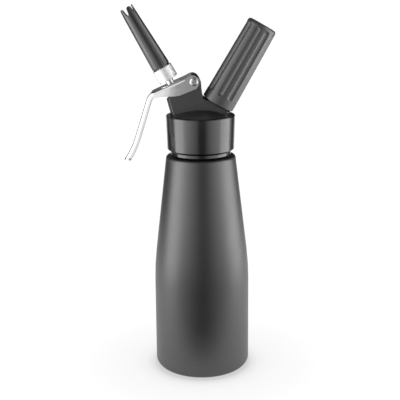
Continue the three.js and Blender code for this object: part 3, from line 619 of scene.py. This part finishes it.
def web_outline():
    """The web from the front: the nozzle's port to the left, the pivot's ear, the boss's foot."""
    nozzle = NOZZLE_ARM @ Vector((0, 0, NOZZLE_PORT_REACH * MM)) / MM
    boss = HOLDER_ARM @ Vector((0, 0, BOSS_FACE * MM)) / MM
    slope = math.tan(math.radians(ARM_LEAN))

    def port_at(across):
        return nozzle.z + (across - nozzle.x) * slope

    def boss_at(across):
        return boss.z - (across - boss.x) * slope

    foot = WEB_FOOT + 1
    sunk = 0.3
    corner = 1.2
    ear_left = PIVOT.x - EAR_LEFT
    ear_right = PIVOT.x + EAR_RIGHT
    ear_top = PIVOT.z + EAR_TOP
    valley = ear_right + 1
    return rounded([
        (WEB_LEFT, foot), (WEB_RIGHT, foot), (WEB_RIGHT, boss_at(WEB_RIGHT) - sunk),
        (valley, boss_at(valley) - sunk, 1), (ear_right, 240.2), (ear_right, 243.4, 1),
        (PIVOT.x + 3.2, ear_top, 3), (ear_left, ear_top, 3),
        (ear_left, port_at(ear_left) + corner, corner),
        (ear_left - corner, port_at(ear_left - corner)), (WEB_LEFT, port_at(WEB_LEFT)),
    ])


def web_plan():
    """The plan of the web, pushed up and leaning outwards at the nozzle's end."""
    bm = bmesh.new()
    half = WEB_THICKNESS / 2
    plan = rounded([
        (-20.4, -8.7, 0.8), (WEB_RIGHT, -half, 8.6), (WEB_RIGHT, half, 8.6), (-20.4, 8.7, 0.8),
        (-22.8, 4, 2), (-22.8, -4, 2),
    ], step=FINE_STEP)
    corners, _ = loop_of(bm, [(x * MM, y * MM, WEB_FOOT * MM) for x, y in plan])
    lean = math.tan(math.radians(WEB_END_LEAN))
    pushed_out(bm, corners, (-WEB_HEIGHT * lean * MM, 0, WEB_HEIGHT * MM))
    return bm


def head_body():
    web = worked(slab(web_outline(), WEB_THICKNESS, 0.8), ("INTERSECT", web_plan()))
    boss = turned(rounded([
        (0, 12), (BOSS_RADIUS, 12), (BOSS_RADIUS, BOSS_FACE, 0.6), (0, BOSS_FACE),
    ], closed=False), 120)
    boss = worked(boss, ("INTERSECT", slab(rounded(box(-14, 14, 11, 28)), BOSS_THICKNESS)))
    cavity = turned(rounded([
        (0, 187), (SKIRT_INSIDE, 187), (SKIRT_INSIDE, 211.6, 0.5),
        (16.8, 211.6), (16.8, 215, 1), (0, 215),
    ], closed=False), 96)
    return worked(
        head_shell(),
        ("UNION", web),
        ("UNION", moved(boss, HOLDER_ARM)),
        ("DIFFERENCE", cavity),
        ("UNION", moved(bar(6.8, 9.5, 22), NOZZLE_ARM)),
        ("UNION", moved(bar(4.4, 12.19, 17.2), HOLDER_ARM)),
        ("DIFFERENCE", moved(bar(3.8, 7.5, 24), NOZZLE_ARM)),
        ("DIFFERENCE", moved(bar(6.6, 22, NOZZLE_PORT_REACH + 2), NOZZLE_ARM)),
        ("DIFFERENCE", moved(bar(2, 10, 19.2), HOLDER_ARM)),
        ("DIFFERENCE", moved(bar(7.8, 17.2, BOSS_FACE + 2), HOLDER_ARM)),
        ("DIFFERENCE", moved(bar(PIVOT_HOLE, -18, 18, 32), PIVOT_PLACE)),
    )


piece(
    "head_moulding", head_body(), "head", ["head_body"], "head_black", black_plastic,
    has_flats=True,
)

# Lever

LEVER_SHEET = 1.3
LEVER_HALF = 10.6
LEVER_TIP_HALF = 8.2
LEVER_SLOPE = 24
LEVER_EAR = 5.9
LEVER_EAR_SHIFT = 1.9
LEVER_TOP = 38
LEVER_BEND = 11
LEVER_ARM = 45.7
LEVER_ARM_LEAN = 17.8
LEVER_KNEE = 70
LEVER_TIP = 13.2
LEVER_TIP_LEAN = 33
LEVER_FOLD = 2.8
CHEEK_TAPER = 1.1
CHEEK_DEPTH = 12.1
CHEEK_FADE = (13, 37)
LIP_DEPTH = 4.3
TIP_ROUND = 5
STATION_GAP = 0.25
STATIONS_SKIPPED = 6


def lever_line():
    """The outer line of the lever's back, from the pivot to the tip."""
    def heading(angle):
        return Vector((-math.sin(math.radians(angle)), -math.cos(math.radians(angle))))

    slope = math.radians(LEVER_SLOPE)
    upward = Vector((-math.sin(slope), math.cos(slope)))
    foot = Vector((PIVOT.x, PIVOT.z)) + upward * LEVER_EAR
    bend = foot + Vector((-math.cos(slope), -math.sin(slope))) * LEVER_TOP
    knee = bend + heading(LEVER_ARM_LEAN) * LEVER_ARM
    tip = knee + heading(LEVER_TIP_LEAN) * LEVER_TIP
    corners = [foot[:], (*bend, LEVER_BEND), (*knee, LEVER_KNEE), tip[:]]
    return rounded(corners, closed=False, step=3)


def spaced(points, longest):
    """The same line with points no farther apart than the longest gap."""
    result = [points[0]]
    for start, end in zip(points, points[1:]):
        pieces = math.ceil((end - start).length / longest)
        result += [start.lerp(end, piece / pieces) for piece in range(1, pieces + 1)]
    return result


def blend_between(low, high, value):
    """How far a value has come between two others, eased at both ends."""
    share = min(max((value - low) / (high - low), 0), 1)
    return share * share * (3 - 2 * share)


def lever_channel():
    """The folded sheet: a channel with deep cheeks at the pivot that fade to lips along the arm."""
    line = spaced(lever_line(), STATION_GAP)
    reach = [0]
    for start, end in zip(line, line[1:]):
        reach.append(reach[-1] + (end - start).length)
    whole = reach[-1]
    rings = []
    for index, (spot, travelled) in enumerate(zip(line, reach)):
        if index % STATIONS_SKIPPED and whole - travelled > TIP_ROUND:
            continue
        ahead = (line[min(index + 1, len(line) - 1)] - line[max(index - 1, 0)]).normalized()
        inward = Vector((-ahead.y, ahead.x))
        share = min(max((travelled - LEVER_TOP) / (whole - LEVER_TOP), 0), 1)
        half = LEVER_HALF - CHEEK_TAPER * min(travelled / LEVER_TOP, 1) ** 2
        half += (LEVER_TIP_HALF - LEVER_HALF + CHEEK_TAPER) * share
        corner = max(1 - (whole - travelled) / TIP_ROUND, 0)
        half -= TIP_ROUND * (1 - math.sqrt(1 - min(corner, 0.999) ** 2))
        fade = blend_between(*CHEEK_FADE, travelled)
        cheek = CHEEK_DEPTH - 0.03 * travelled
        depth = cheek * (1 - fade) + (LIP_DEPTH + 0.6 * travelled / whole) * fade
        inside = half - LEVER_SHEET
        edge = 0.25
        fold = LEVER_FOLD - LEVER_SHEET
        section = rounded([
            (-half, depth, edge), (-half, 0, LEVER_FOLD),
            (half, 0, LEVER_FOLD), (half, depth, edge),
            (inside, depth, edge), (inside, LEVER_SHEET, fold),
            (-inside, LEVER_SHEET, fold), (-inside, depth, edge),
        ], step=15)
        rings.append([
            Vector((spot.x + inward.x * place.y, place.x, spot.y + inward.y * place.y)) * MM
            for place in section
        ])
    return bridged(rings)


def lever():
    slope = math.radians(LEVER_SLOPE)
    shift = Vector((-math.cos(slope), 0, -math.sin(slope))) * LEVER_EAR_SHIFT
    ear_place = Matrix.Translation((PIVOT + shift) * MM) @ TURN_TO_Y
    front = bar(LEVER_EAR, LEVER_HALF - LEVER_SHEET, LEVER_HALF, 96)
    back = bar(LEVER_EAR, -LEVER_HALF, -LEVER_HALF + LEVER_SHEET, 96)
    return worked(
        lever_channel(),
        ("UNION", moved(front, ear_place)),
        ("UNION", moved(back, ear_place)),
        ("DIFFERENCE", moved(bar(PIVOT_HOLE, -13, 13, 48), PIVOT_PLACE)),
        ("DIFFERENCE", moved(bar(4.6, 43.8, 51.3), NOZZLE_ARM)),
    )


piece(
    "squeeze_lever", lever(), "lever", ["lever"], "polished_steel", polished,
    crease=30, has_flats=True,
)

# Pivot screw and nut

SCREW_RADIUS = 2
SCREW_SEAT = 10.9
SCREW_HEAD_RADIUS = 3.4
SCREW_CROSS_LENGTH = 4.2
SCREW_CROSS_WIDTH = 1.1
SCREW_CROSS_TURN = 14
NUT_RADIUS = 3.5
NUT_THICKNESS = 2


def pivot_screw():
    nut_end = -SCREW_SEAT - NUT_THICKNESS
    head = SCREW_HEAD_RADIUS
    shape = turned(rounded([
        (0, nut_end), (SCREW_RADIUS, nut_end, 0.5), (SCREW_RADIUS, SCREW_SEAT),
        (head, SCREW_SEAT, 0.3), (head, 12.2, 1.2), (2.2, 12.7, 3), (0, 12.8),
    ], closed=False), 64)
    cross = []
    for length, width in (
        (SCREW_CROSS_LENGTH, SCREW_CROSS_WIDTH), (SCREW_CROSS_WIDTH, SCREW_CROSS_LENGTH),
    ):
        cut = slab(rounded(box(-length / 2, length / 2, 11.4, 13.5)), width)
        cross.append(("DIFFERENCE", cut))
    turn = Matrix.Rotation(math.radians(SCREW_CROSS_TURN), 4, "Z")
    return moved(worked(shape, *cross), PIVOT_PLACE @ turn)


def pivot_nut():
    shape = bar(NUT_RADIUS, -SCREW_SEAT - NUT_THICKNESS, -SCREW_SEAT, 6)
    shape = worked(shape, ("DIFFERENCE", bar(2.1, -14, -10, 48)))
    return moved(shape, PIVOT_PLACE)


piece(
    "pivot_cross_screw", pivot_screw(), "head", ["pivot_screw"], "polished_steel", steel,
    rounding=0.1,
)
piece("pivot_hex_nut", pivot_nut(), "head", ["pivot_nut"], "plain_steel", steel, rounding=0.2)

# Valve, with its heights measured along the nozzle's arm

STEM_RADIUS = 3
STEM_FOOT = 6.5
STEM_TOP = 57.3
STEM_BORE = 1.4
FLANGE_RADIUS = 5.6
RING_REACHES = (16.6, 19.8)
RING_WIRE = 0.6
RING_GROOVE_HALF = 0.9
BUSH_RADIUS = 6.3
BUSH_FOOT = 22.3
BUSH_TOP = 29.3
BUSH_FLATS = 9.6
SPRING_FOOT = 29.6
SPRING_TOP = 43.6
SPRING_RADIUS = 4.9
SPRING_WIRE = 0.5
SPRING_END_PITCH = 1.46
SPRING_TURNS = 5


def valve_stem():
    """The hollow stem, with a groove for each ring, a flange and two holes across it."""
    radius = STEM_RADIUS
    grooves = []
    for reach in RING_REACHES:
        foot, top = reach - RING_GROOVE_HALF, reach + RING_GROOVE_HALF
        grooves += [(radius, foot), (radius - 1, foot), (radius - 1, top), (radius, top)]
    shape = turned(rounded([
        (0, STEM_FOOT), (1.7, STEM_FOOT), (1.7, 9.5), (radius, 9.5, 0.2), *grooves,
        (radius, 43.9), (FLANGE_RADIUS, 43.9, 0.5), (FLANGE_RADIUS, 45.8, 0.5), (3.2, 45.8),
        (3.2, 51), (2.8, 51), (2.8, STEM_TOP, 0.2), (STEM_BORE, STEM_TOP),
        (STEM_BORE, 11.6), (0, 11.6),
    ], closed=False), 64)
    lift = Matrix.Translation((0, 0, 12.6 * MM))
    holes = [
        ("DIFFERENCE", moved(bar(1, -5, 5, 24), lift @ Matrix.Rotation(math.pi / 2, 4, axis)))
        for axis in "XY"
    ]
    return worked(shape, *holes)


def stem_ring(reach):
    return turned(wire_section(STEM_RADIUS, RING_WIRE, reach), 64)


def valve_spring():
    """The spring, with one close turn at each end."""
    wire = wire_section(SPRING_RADIUS, SPRING_WIRE, SPRING_FOOT + SPRING_WIRE)
    rise = SPRING_TOP - SPRING_FOOT - 2 * SPRING_WIRE
    pitch = (rise - 2 * SPRING_END_PITCH) / SPRING_TURNS
    return coiled(wire, [(1, SPRING_END_PITCH), (SPRING_TURNS, pitch), (1, SPRING_END_PITCH)], 36)


def valve_bush():
    """The guide bush, with two flats at its top for a spanner."""
    shape = flat_ring(BUSH_RADIUS, 3.3, BUSH_FOOT, BUSH_TOP, 0.3, 64)
    flats = []
    for side in (-1, 1):
        block = slab(rounded(box(-8, 8, 26.7, 31)), BUSH_RADIUS)
        shift = Matrix.Translation((0, side * (BUSH_FLATS + BUSH_RADIUS) / 2 * MM, 0))
        flats.append(("DIFFERENCE", moved(block, shift)))
    return worked(shape, *flats)


def seal_screw():
    shape = turned(rounded([
        (0, 4.1), (3.8, 4.1, 0.6), (3.8, 5.9, 0.2), (0, 5.9),
    ], closed=False), 48)
    return worked(shape, ("DIFFERENCE", slab(rounded(box(-5, 5, 3, 5)), 1)))


piece("valve_rod", valve_stem(), "valve", ["valve_stem"], "polished_steel", steel, NOZZLE_ARM)
for name, node, reach in zip(
    ("rod_ring_low", "rod_ring_high"), ("stem_ring_lower", "stem_ring_upper"), RING_REACHES,
):
    piece(name, stem_ring(reach), "valve", [node], "rubber", rubber, NOZZLE_ARM)
piece(
    "valve_washer", flat_ring(5.4, 2, STEM_FOOT, 9.2, 0.3, 64),
    "valve", ["valve_seal"], "rubber", rubber, NOZZLE_ARM,
)
piece("guide_bush", valve_bush(), "head", ["valve_bush"], "brass", brass, NOZZLE_ARM, rounding=0.1)
piece("washer_screw", seal_screw(), "valve", ["seal_screw"], "plain_steel", steel, NOZZLE_ARM)
spring = piece(
    "return_spring", valve_spring(), None, ["valve_spring"], "plain_steel", steel, NOZZLE_ARM,
)
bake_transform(spring)

# Adapter ring and nozzle

ADAPTER_RADIUS = 8.3
ADAPTER_FOOT = 51.3
ADAPTER_RIM = 62.1
ADAPTER_NOTCHES = 24
ADAPTER_NOTCH_HALF = 0.45
NOZZLE_FOOT = 63.2
NOZZLE_FOOT_RADIUS = 7.6
NOZZLE_TIP = 117.2
NOZZLE_TIP_RADIUS = 5.55
TOOTH_COUNT = 5
TOOTH_DEPTH = 6.4
FIRST_TOOTH = -17


def nozzle_adapter():
    """The ring between stem and nozzle, with fine notches round its rim."""
    shape = turned(rounded([
        (3.1, ADAPTER_FOOT), (ADAPTER_RADIUS, ADAPTER_FOOT, 0.6),
        (ADAPTER_RADIUS, ADAPTER_RIM, 0.6), (5.9, ADAPTER_RIM), (5.9, 67.5, 0.3), (4.5, 67.5),
        (4.5, 55.9), (3.1, 55.9),
    ], step=10), 96)
    outline = box(-ADAPTER_NOTCH_HALF, ADAPTER_NOTCH_HALF, 61.4, 63)
    notches = []
    for number in range(ADAPTER_NOTCHES):
        notch = slab(rounded(outline), 2.4)
        bmesh.ops.translate(notch, verts=notch.verts, vec=(0, -8.4 * MM, 0))
        turn = Matrix.Rotation(math.tau * number / ADAPTER_NOTCHES, 4, "Z")
        notches.append(("DIFFERENCE", moved(notch, turn)))
    return worked(shape, *notches)


piece(
    "nozzle_collar", nozzle_adapter(), "valve", ["nozzle_adapter"], "polished_steel", blasted,
    NOZZLE_ARM, has_flats=True,
)
piece(
    "nozzle_washer", flat_ring(7.3, 6.2, 62.4, 62.9, 0.15),
    "nozzle_lift", ["nozzle_seal"], "rubber", rubber, NOZZLE_ARM,
)


def nozzle_notch(turn):
    """A notch between two teeth, which widens towards the tip."""
    low, high, round_off, foot_round = 1.1, 2.1, 1, 0.99
    foot = NOZZLE_TIP - TOOTH_DEPTH
    wide = high + round_off
    flare = (high - low) / TOOTH_DEPTH * (TOOTH_DEPTH - round_off)
    half = [
        (low, foot, foot_round), (low + flare, NOZZLE_TIP - round_off, round_off),
        (wide, NOZZLE_TIP), (wide, NOZZLE_TIP + 2),
    ]
    other_half = [(-x, z, *rest) for x, z, *rest in half[:0:-1]]
    cutter = slab(rounded([(-low, foot, foot_round)] + half + other_half), 15)
    bmesh.ops.translate(cutter, verts=cutter.verts, vec=(0, -NOZZLE_FOOT_RADIUS * MM, 0))
    return moved(cutter, Matrix.Rotation(math.radians(turn), 4, "Z"))


def decorating_nozzle():
    shape = turned(rounded([
        (6.2, NOZZLE_FOOT), (NOZZLE_FOOT_RADIUS, NOZZLE_FOOT, 0.5),
        (NOZZLE_TIP_RADIUS, NOZZLE_TIP, 0.4), (4.25, NOZZLE_TIP), (4.5, 69.2), (6.2, 69.2),
    ], step=15), 120)
    notches = [
        ("DIFFERENCE", nozzle_notch(FIRST_TOOTH + tooth * 360 / TOOTH_COUNT))
        for tooth in range(TOOTH_COUNT)
    ]
    return worked(shape, *notches)


piece(
    "toothed_nozzle", decorating_nozzle(), "nozzle", ["decorating_nozzle"], "nozzle_black",
    gloss_plastic, NOZZLE_ARM,
)

# Charger port, charger and holder, with their heights measured along the holder's arm

PORT_RADIUS = 10.1
PORT_TOP = 39.8
PORT_THREAD_RADIUS = 10.75
PORT_THREAD_TURNS = 4.5
PORT_THREAD_PITCH = 1.75
CHARGER_RADIUS = 9
CHARGER_NECK = 4.1
CHARGER_MOUTH = 31
CHARGER_END = 96.5
CHARGER_WALL = 1.3
HOLDER_FOOT = 28.5
HOLDER_FOOT_RADIUS = 13.7
HOLDER_TOP = 100.8
HOLDER_TOP_RADIUS = 12.5
FLUTE_COUNT = 9
FIRST_FLUTE = -15
FLUTE_HALF = 2.9
FLUTE_DEPTH = 1.15
FLUTE_RISE = 6
FLUTE_DROP = 1.9


def charger_port():
    """The flanged spigot, with one raised thread wound up it."""
    wall, root, crest = PORT_RADIUS, PORT_RADIUS - 0.2, PORT_THREAD_RADIUS
    shape = turned(rounded([
        (3.3, 17.5), (7.5, 17.5, 0.3), (7.5, 27.5), (11.6, 27.5, 0.2), (11.6, 28.4, 0.2),
        (wall, 28.4), (wall, PORT_TOP, 0.6), (7.1, PORT_TOP), (4.5, 35.8), (4.5, 28.4),
        (1.3, 28.4), (1.3, 27.1), (3.3, 27.1),
    ], step=15), 96)
    ridge = [
        (root, 30.0), (wall, 30.0), (crest, 30.5), (crest, 30.8), (wall, 31.3), (root, 31.3),
    ]
    return joined_in_one(shape, coiled(ridge, [(PORT_THREAD_TURNS, PORT_THREAD_PITCH)], 72))


def gas_charger():
    """The steel charger, hollow, with a narrow neck and a round end."""
    inside, inner_end = CHARGER_RADIUS - CHARGER_WALL, CHARGER_END - CHARGER_WALL
    return turned(rounded([
        (1.3, CHARGER_MOUTH), (CHARGER_NECK, CHARGER_MOUTH, 1), (CHARGER_NECK, 39, 4.7),
        (CHARGER_RADIUS, 47.5, 4.7), (CHARGER_RADIUS, CHARGER_END, 8.7), (0, CHARGER_END),
        (0, inner_end), (inside, inner_end, 7.4), (inside, 48.8, 4.7), (1.3, 40.3),
    ], closed=False, step=FINE_STEP), 96)


def flute_cutter(turn):
    """A long round-ended shape that cuts one flute, leaning as the holder tapers."""
    half, deep = FLUTE_HALF, FLUTE_DEPTH
    radius = (half ** 2 + deep ** 2) / (2 * deep)
    foot, top = HOLDER_FOOT + FLUTE_RISE, HOLDER_TOP - FLUTE_DROP
    taper = (HOLDER_FOOT_RADIUS - HOLDER_TOP_RADIUS) / (HOLDER_TOP - HOLDER_FOOT)
    centre = HOLDER_FOOT_RADIUS + taper * HOLDER_FOOT + radius - deep
    angles = [math.radians(angle) for angle in range(0, 91, 9)]
    arc = [Vector((radius * math.sin(angle), half * math.cos(angle))) for angle in angles]
    low = [Vector((across, foot + half - down)) for across, down in arc]
    high = [Vector((across, top - half + down)) for across, down in reversed(arc)]
    low[0].x = high[-1].x = 0
    bm = turned(low + high, 96)
    for corner in bm.verts:
        corner.co.y -= centre * MM - taper * corner.co.z
    return moved(bm, Matrix.Rotation(math.radians(turn), 4, "Z"))


def charger_holder():
    shape = turned(rounded([
        (11.2, HOLDER_FOOT), (HOLDER_FOOT_RADIUS, HOLDER_FOOT, 0.5),
        (HOLDER_TOP_RADIUS, HOLDER_TOP, 2.4), (0, HOLDER_TOP), (0, 99.3), (9.4, 99.3),
        (9.4, 43.3), (11.2, 41.5),
    ], closed=False, step=FINE_STEP), 180)
    flutes = [
        ("DIFFERENCE", flute_cutter(FIRST_FLUTE + flute * 360 / FLUTE_COUNT))
        for flute in range(FLUTE_COUNT)
    ]
    return worked(shape, *flutes)


def piercing_pin():
    return turned([Vector(spot) for spot in (
        (0, 21.2), (3, 21.2), (3, 26.8), (1, 26.8), (1, 31.8), (0, 33.2),
    )], 48)


def check_valve():
    return turned(rounded([
        (0, 10.39), (3.8, 10.39, 0.5), (3.8, 11.89, 0.2), (1.7, 11.89), (1.7, 15.29, 0.3),
        (0, 15.29),
    ], closed=False), 48)


# The port's near-black colour is painted shade for the gap under the holder.
piece(
    "threaded_port", charger_port(), "head", ["charger_port"], "brass", gap_shade_brass, HOLDER_ARM,
    has_flats=True,
)
piece("port_pin", piercing_pin(), "head", ["piercing_pin"], "plain_steel", steel, HOLDER_ARM)
piece(
    "port_pin_nut", flat_ring(3, 0.9, 18.7, 20.9, 0.2, 48),
    "head", ["pin_nut"], "brass", brass, HOLDER_ARM,
)
piece(
    "port_washer", flat_ring(CHARGER_NECK, 1.3, 28.7, 30.7, 0.3, 48),
    "head", ["charger_seal"], "rubber", rubber, HOLDER_ARM,
)
piece("check_plug", check_valve(), "head", ["check_valve"], "silicone", silicone, HOLDER_ARM)
piece("steel_charger", gas_charger(), "charger", ["gas_charger"], "zinc_steel", zinc, HOLDER_ARM)
piece(
    "fluted_holder", charger_holder(), "holder", ["charger_holder"], "holder_grey", grey_plastic,
    HOLDER_ARM, crease=24,
)
piece(
    "holder_cushion", flat_ring(9.1, 1.3, 96.8, 99.0, 0.4, 64),
    "holder", ["holder_pad"], "rubber", rubber, HOLDER_ARM,
)

# Floor and light

def staged(name, bm, material):
    """Puts a mesh in the room as the floor or a board, which isn't part of the object."""
    mesh = bpy.data.meshes.new(name)
    bm.to_mesh(mesh)
    bm.free()
    mesh.materials.append(material)
    made = bpy.data.objects.new(name, mesh)
    bpy.context.scene.collection.objects.link(made)


def worked_out(tree, operation, first, second=None):
    """A value node of one or two values, each a number or another node's output."""
    node = tree.nodes.new("ShaderNodeMath")
    node.operation = operation
    for socket, value in zip(node.inputs, (first, second)):
        if isinstance(value, (int, float)):
            socket.default_value = value
        elif value is not None:
            tree.links.new(value, socket)
    return node.outputs["Value"]


def levelled(tree, value, unit, stops):
    """The brightness at a value, from (value in units, brightness) stops."""
    longest = stops[-1][0]
    most = max(level for _, level in stops)
    node = tree.nodes.new("ShaderNodeFloatCurve")
    curve = node.mapping.curves[0]
    while len(curve.points) < len(stops):
        curve.points.new(0.5, 0.5)
    for point, (length, level) in zip(curve.points, stops):
        point.location = (length / longest, level / most)
        point.handle_type = "VECTOR"
    node.mapping.update()
    tree.links.new(worked_out(tree, "DIVIDE", value, longest * unit), node.inputs["Value"])
    return worked_out(tree, "MULTIPLY", node.outputs["Value"], most)


def white_floor():
    """A white floor whose glow is painted: painted light at the sides, painted shade towards the
    camera and soft painted shade at the foot of the object.
    """
    material = finish("white_floor", (0.02, 0.02, 0.02), 0.9)
    tree = material.node_tree
    shader = tree.nodes["Principled BSDF"]
    shader.inputs["Specular IOR Level"].default_value = 0
    shader.inputs["Emission Color"].default_value = (1, 1, 1, 1)
    place = tree.nodes.new("ShaderNodeTexCoord").outputs["Object"]
    parts = tree.nodes.new("ShaderNodeSeparateXYZ")
    tree.links.new(place, parts.inputs["Vector"])
    length = tree.nodes.new("ShaderNodeVectorMath")
    length.operation = "LENGTH"
    tree.links.new(place, length.inputs[0])
    away = length.outputs["Value"]
    ahead = worked_out(tree, "MULTIPLY", parts.outputs["Y"], -1.0)
    bearing = worked_out(tree, "ABSOLUTE", worked_out(tree, "ARCTAN2", parts.outputs["X"], ahead))
    # Painted light and shade: the floor glows brighter at the sides and darker straight towards the
    # camera.
    sides = levelled(tree, bearing, math.radians(1), FLOOR_PAINTED_SIDE_LIGHT)
    front = levelled(tree, ahead, MM, FLOOR_PAINTED_FRONT_SHADE)
    painted_dimming = worked_out(tree, "MULTIPLY", front, worked_out(tree, "SUBTRACT", 1.0, sides))
    # Painted shade: the floor glows less close to the object's foot.
    shade = levelled(tree, away, MM, FLOOR_PAINTED_SHADE)
    level = worked_out(tree, "MULTIPLY", shade, worked_out(tree, "SUBTRACT", 1.0, painted_dimming))
    tree.links.new(level, shader.inputs["Emission Strength"])
    gloss_with(material, noise(material, 0.01), 0.88, 0.92)
    bm = bmesh.new()
    bmesh.ops.create_grid(bm, x_segments=1, y_segments=1, size=FLOOR_HALF)
    staged("floor", bm, material)


def standing(start, end, distance):
    """The foot ends of an upright board, between two bearings in degrees from the camera."""
    return [
        Vector((math.sin(math.radians(bearing)), -math.cos(math.radians(bearing)), 0)) * distance
        for bearing in (start, end)
    ]


def grey_board(name, start, end, distance, foot, top, brightness):
    """A dim board out of view, for the dark edges of the glossy pieces."""
    low, high = Vector((0, 0, foot)), Vector((0, 0, top))
    left, right = standing(start, end, distance)
    bm = bmesh.new()
    corners = (left + low, right + low, right + high, left + high)
    bm.faces.new([bm.verts.new(corner) for corner in corners])
    material = finish(name, (0.03, 0.03, 0.03), 0.8)
    shader = material.node_tree.nodes["Principled BSDF"]
    shader.inputs["Emission Color"].default_value = (1, 1, 1, 1)
    shader.inputs["Emission Strength"].default_value = brightness
    staged(name, bm, material)


def soft_panel(name, start, end, distance, foot, top, brightness):
    """A tall soft light that faces the object, between two bearings in degrees from the camera."""
    corners = standing(start, end, distance)
    middle = (corners[0] + corners[1]) / 2
    data = bpy.data.lights.new(name, "AREA")
    data.shape = "RECTANGLE"
    data.size = (corners[1] - corners[0]).length
    data.size_y = top - foot
    data.energy = brightness * math.pi * data.size * data.size_y
    light = bpy.data.objects.new(name, data)
    bpy.context.scene.collection.objects.link(light)
    light.matrix_world = (
        Matrix.Translation(middle + Vector((0, 0, (foot + top) / 2)))
        @ middle.to_track_quat("Z", "Y").to_matrix().to_4x4()
    )


def overhead_light(brightness, spread):
    """Even light from straight above."""
    data = bpy.data.lights.new("overhead", "SUN")
    data.energy = brightness * math.pi
    data.angle = math.radians(spread)
    light = bpy.data.objects.new("overhead", data)
    bpy.context.scene.collection.objects.link(light)


# The floor's glow, by millimetres from the object, with painted shade at its foot, then how far
# it is dimmed, by millimetres towards the camera, to the share that its bearing in degrees gives,
# which is painted shade in front and painted light at the sides.
FLOOR_HALF = 20
# Painted shade at the foot of the object.
FLOOR_PAINTED_SHADE = [
    (0, 0.6), (39, 0.62), (43, 0.78), (49, 0.88), (60, 0.93), (90, 0.97), (130, 1.03), (400, 1.03),
]
# Painted shade on the floor towards the camera, out of view.
FLOOR_PAINTED_FRONT_SHADE = [
    (0, 0), (78, 0), (105, 1), (300, 1), (420, 0.9), (900, 0.88), (1300, 0.75), (2000, 0.75),
]
# Painted light on the floor at the sides, falling away straight towards the camera.
FLOOR_PAINTED_SIDE_LIGHT = [
    (0, 0.03), (10, 0.05), (20, 0.18), (35, 0.38), (55, 0.58), (75, 0.72), (100, 0.8), (180, 1),
]

# Upright lights as (bearing, bearing, foot, brightness), in degrees from the camera and metres.
PANELS = [
    (-94, -58, 0, 2.8), (-58, -48, 0.05, 1.55), (-48, -36, 0.05, 1.15), (-36, -23, 0.05, 0.9),
    (-23, -9, 0.05, 0.62), (17, 24, 0.05, 0.28), (24, 36, 0.05, 0.58), (36, 50, 0.05, 0.88),
    (50, 68, 0.05, 1.1), (68, 110, 0, 2.5),
]
PANEL_DISTANCE = 0.4
LIGHT_TOP = 0.6

# Boards as (name, bearing, bearing, distance, foot, brightness).
BOARDS = [
    ("left_board", -150, -98, 0.62, 0, 0.06),
    ("right_board", 122, 150, 0.62, 0, 0.1),
    ("back_board", -178, -138, 1, 0.3, 0.17),
]
OVERHEAD_BRIGHTNESS = 0.08
OVERHEAD_SPREAD = 70
ROOM_BRIGHTNESS = 0.03

white_floor()
for number, (start, end, foot, brightness) in enumerate(PANELS):
    soft_panel(f"panel_{number + 1}", start, end, PANEL_DISTANCE, foot, LIGHT_TOP, brightness)
for name, start, end, distance, foot, brightness in BOARDS:
    grey_board(name, start, end, distance, foot, LIGHT_TOP, brightness)
overhead_light(OVERHEAD_BRIGHTNESS, OVERHEAD_SPREAD)

world = bpy.data.worlds.new("room")
world.use_nodes = True
world.node_tree.nodes["Background"].inputs["Color"].default_value = (1, 1, 1, 1)
world.node_tree.nodes["Background"].inputs["Strength"].default_value = ROOM_BRIGHTNESS
bpy.context.scene.world = world
bpy.context.scene.view_settings.view_transform = "Standard"
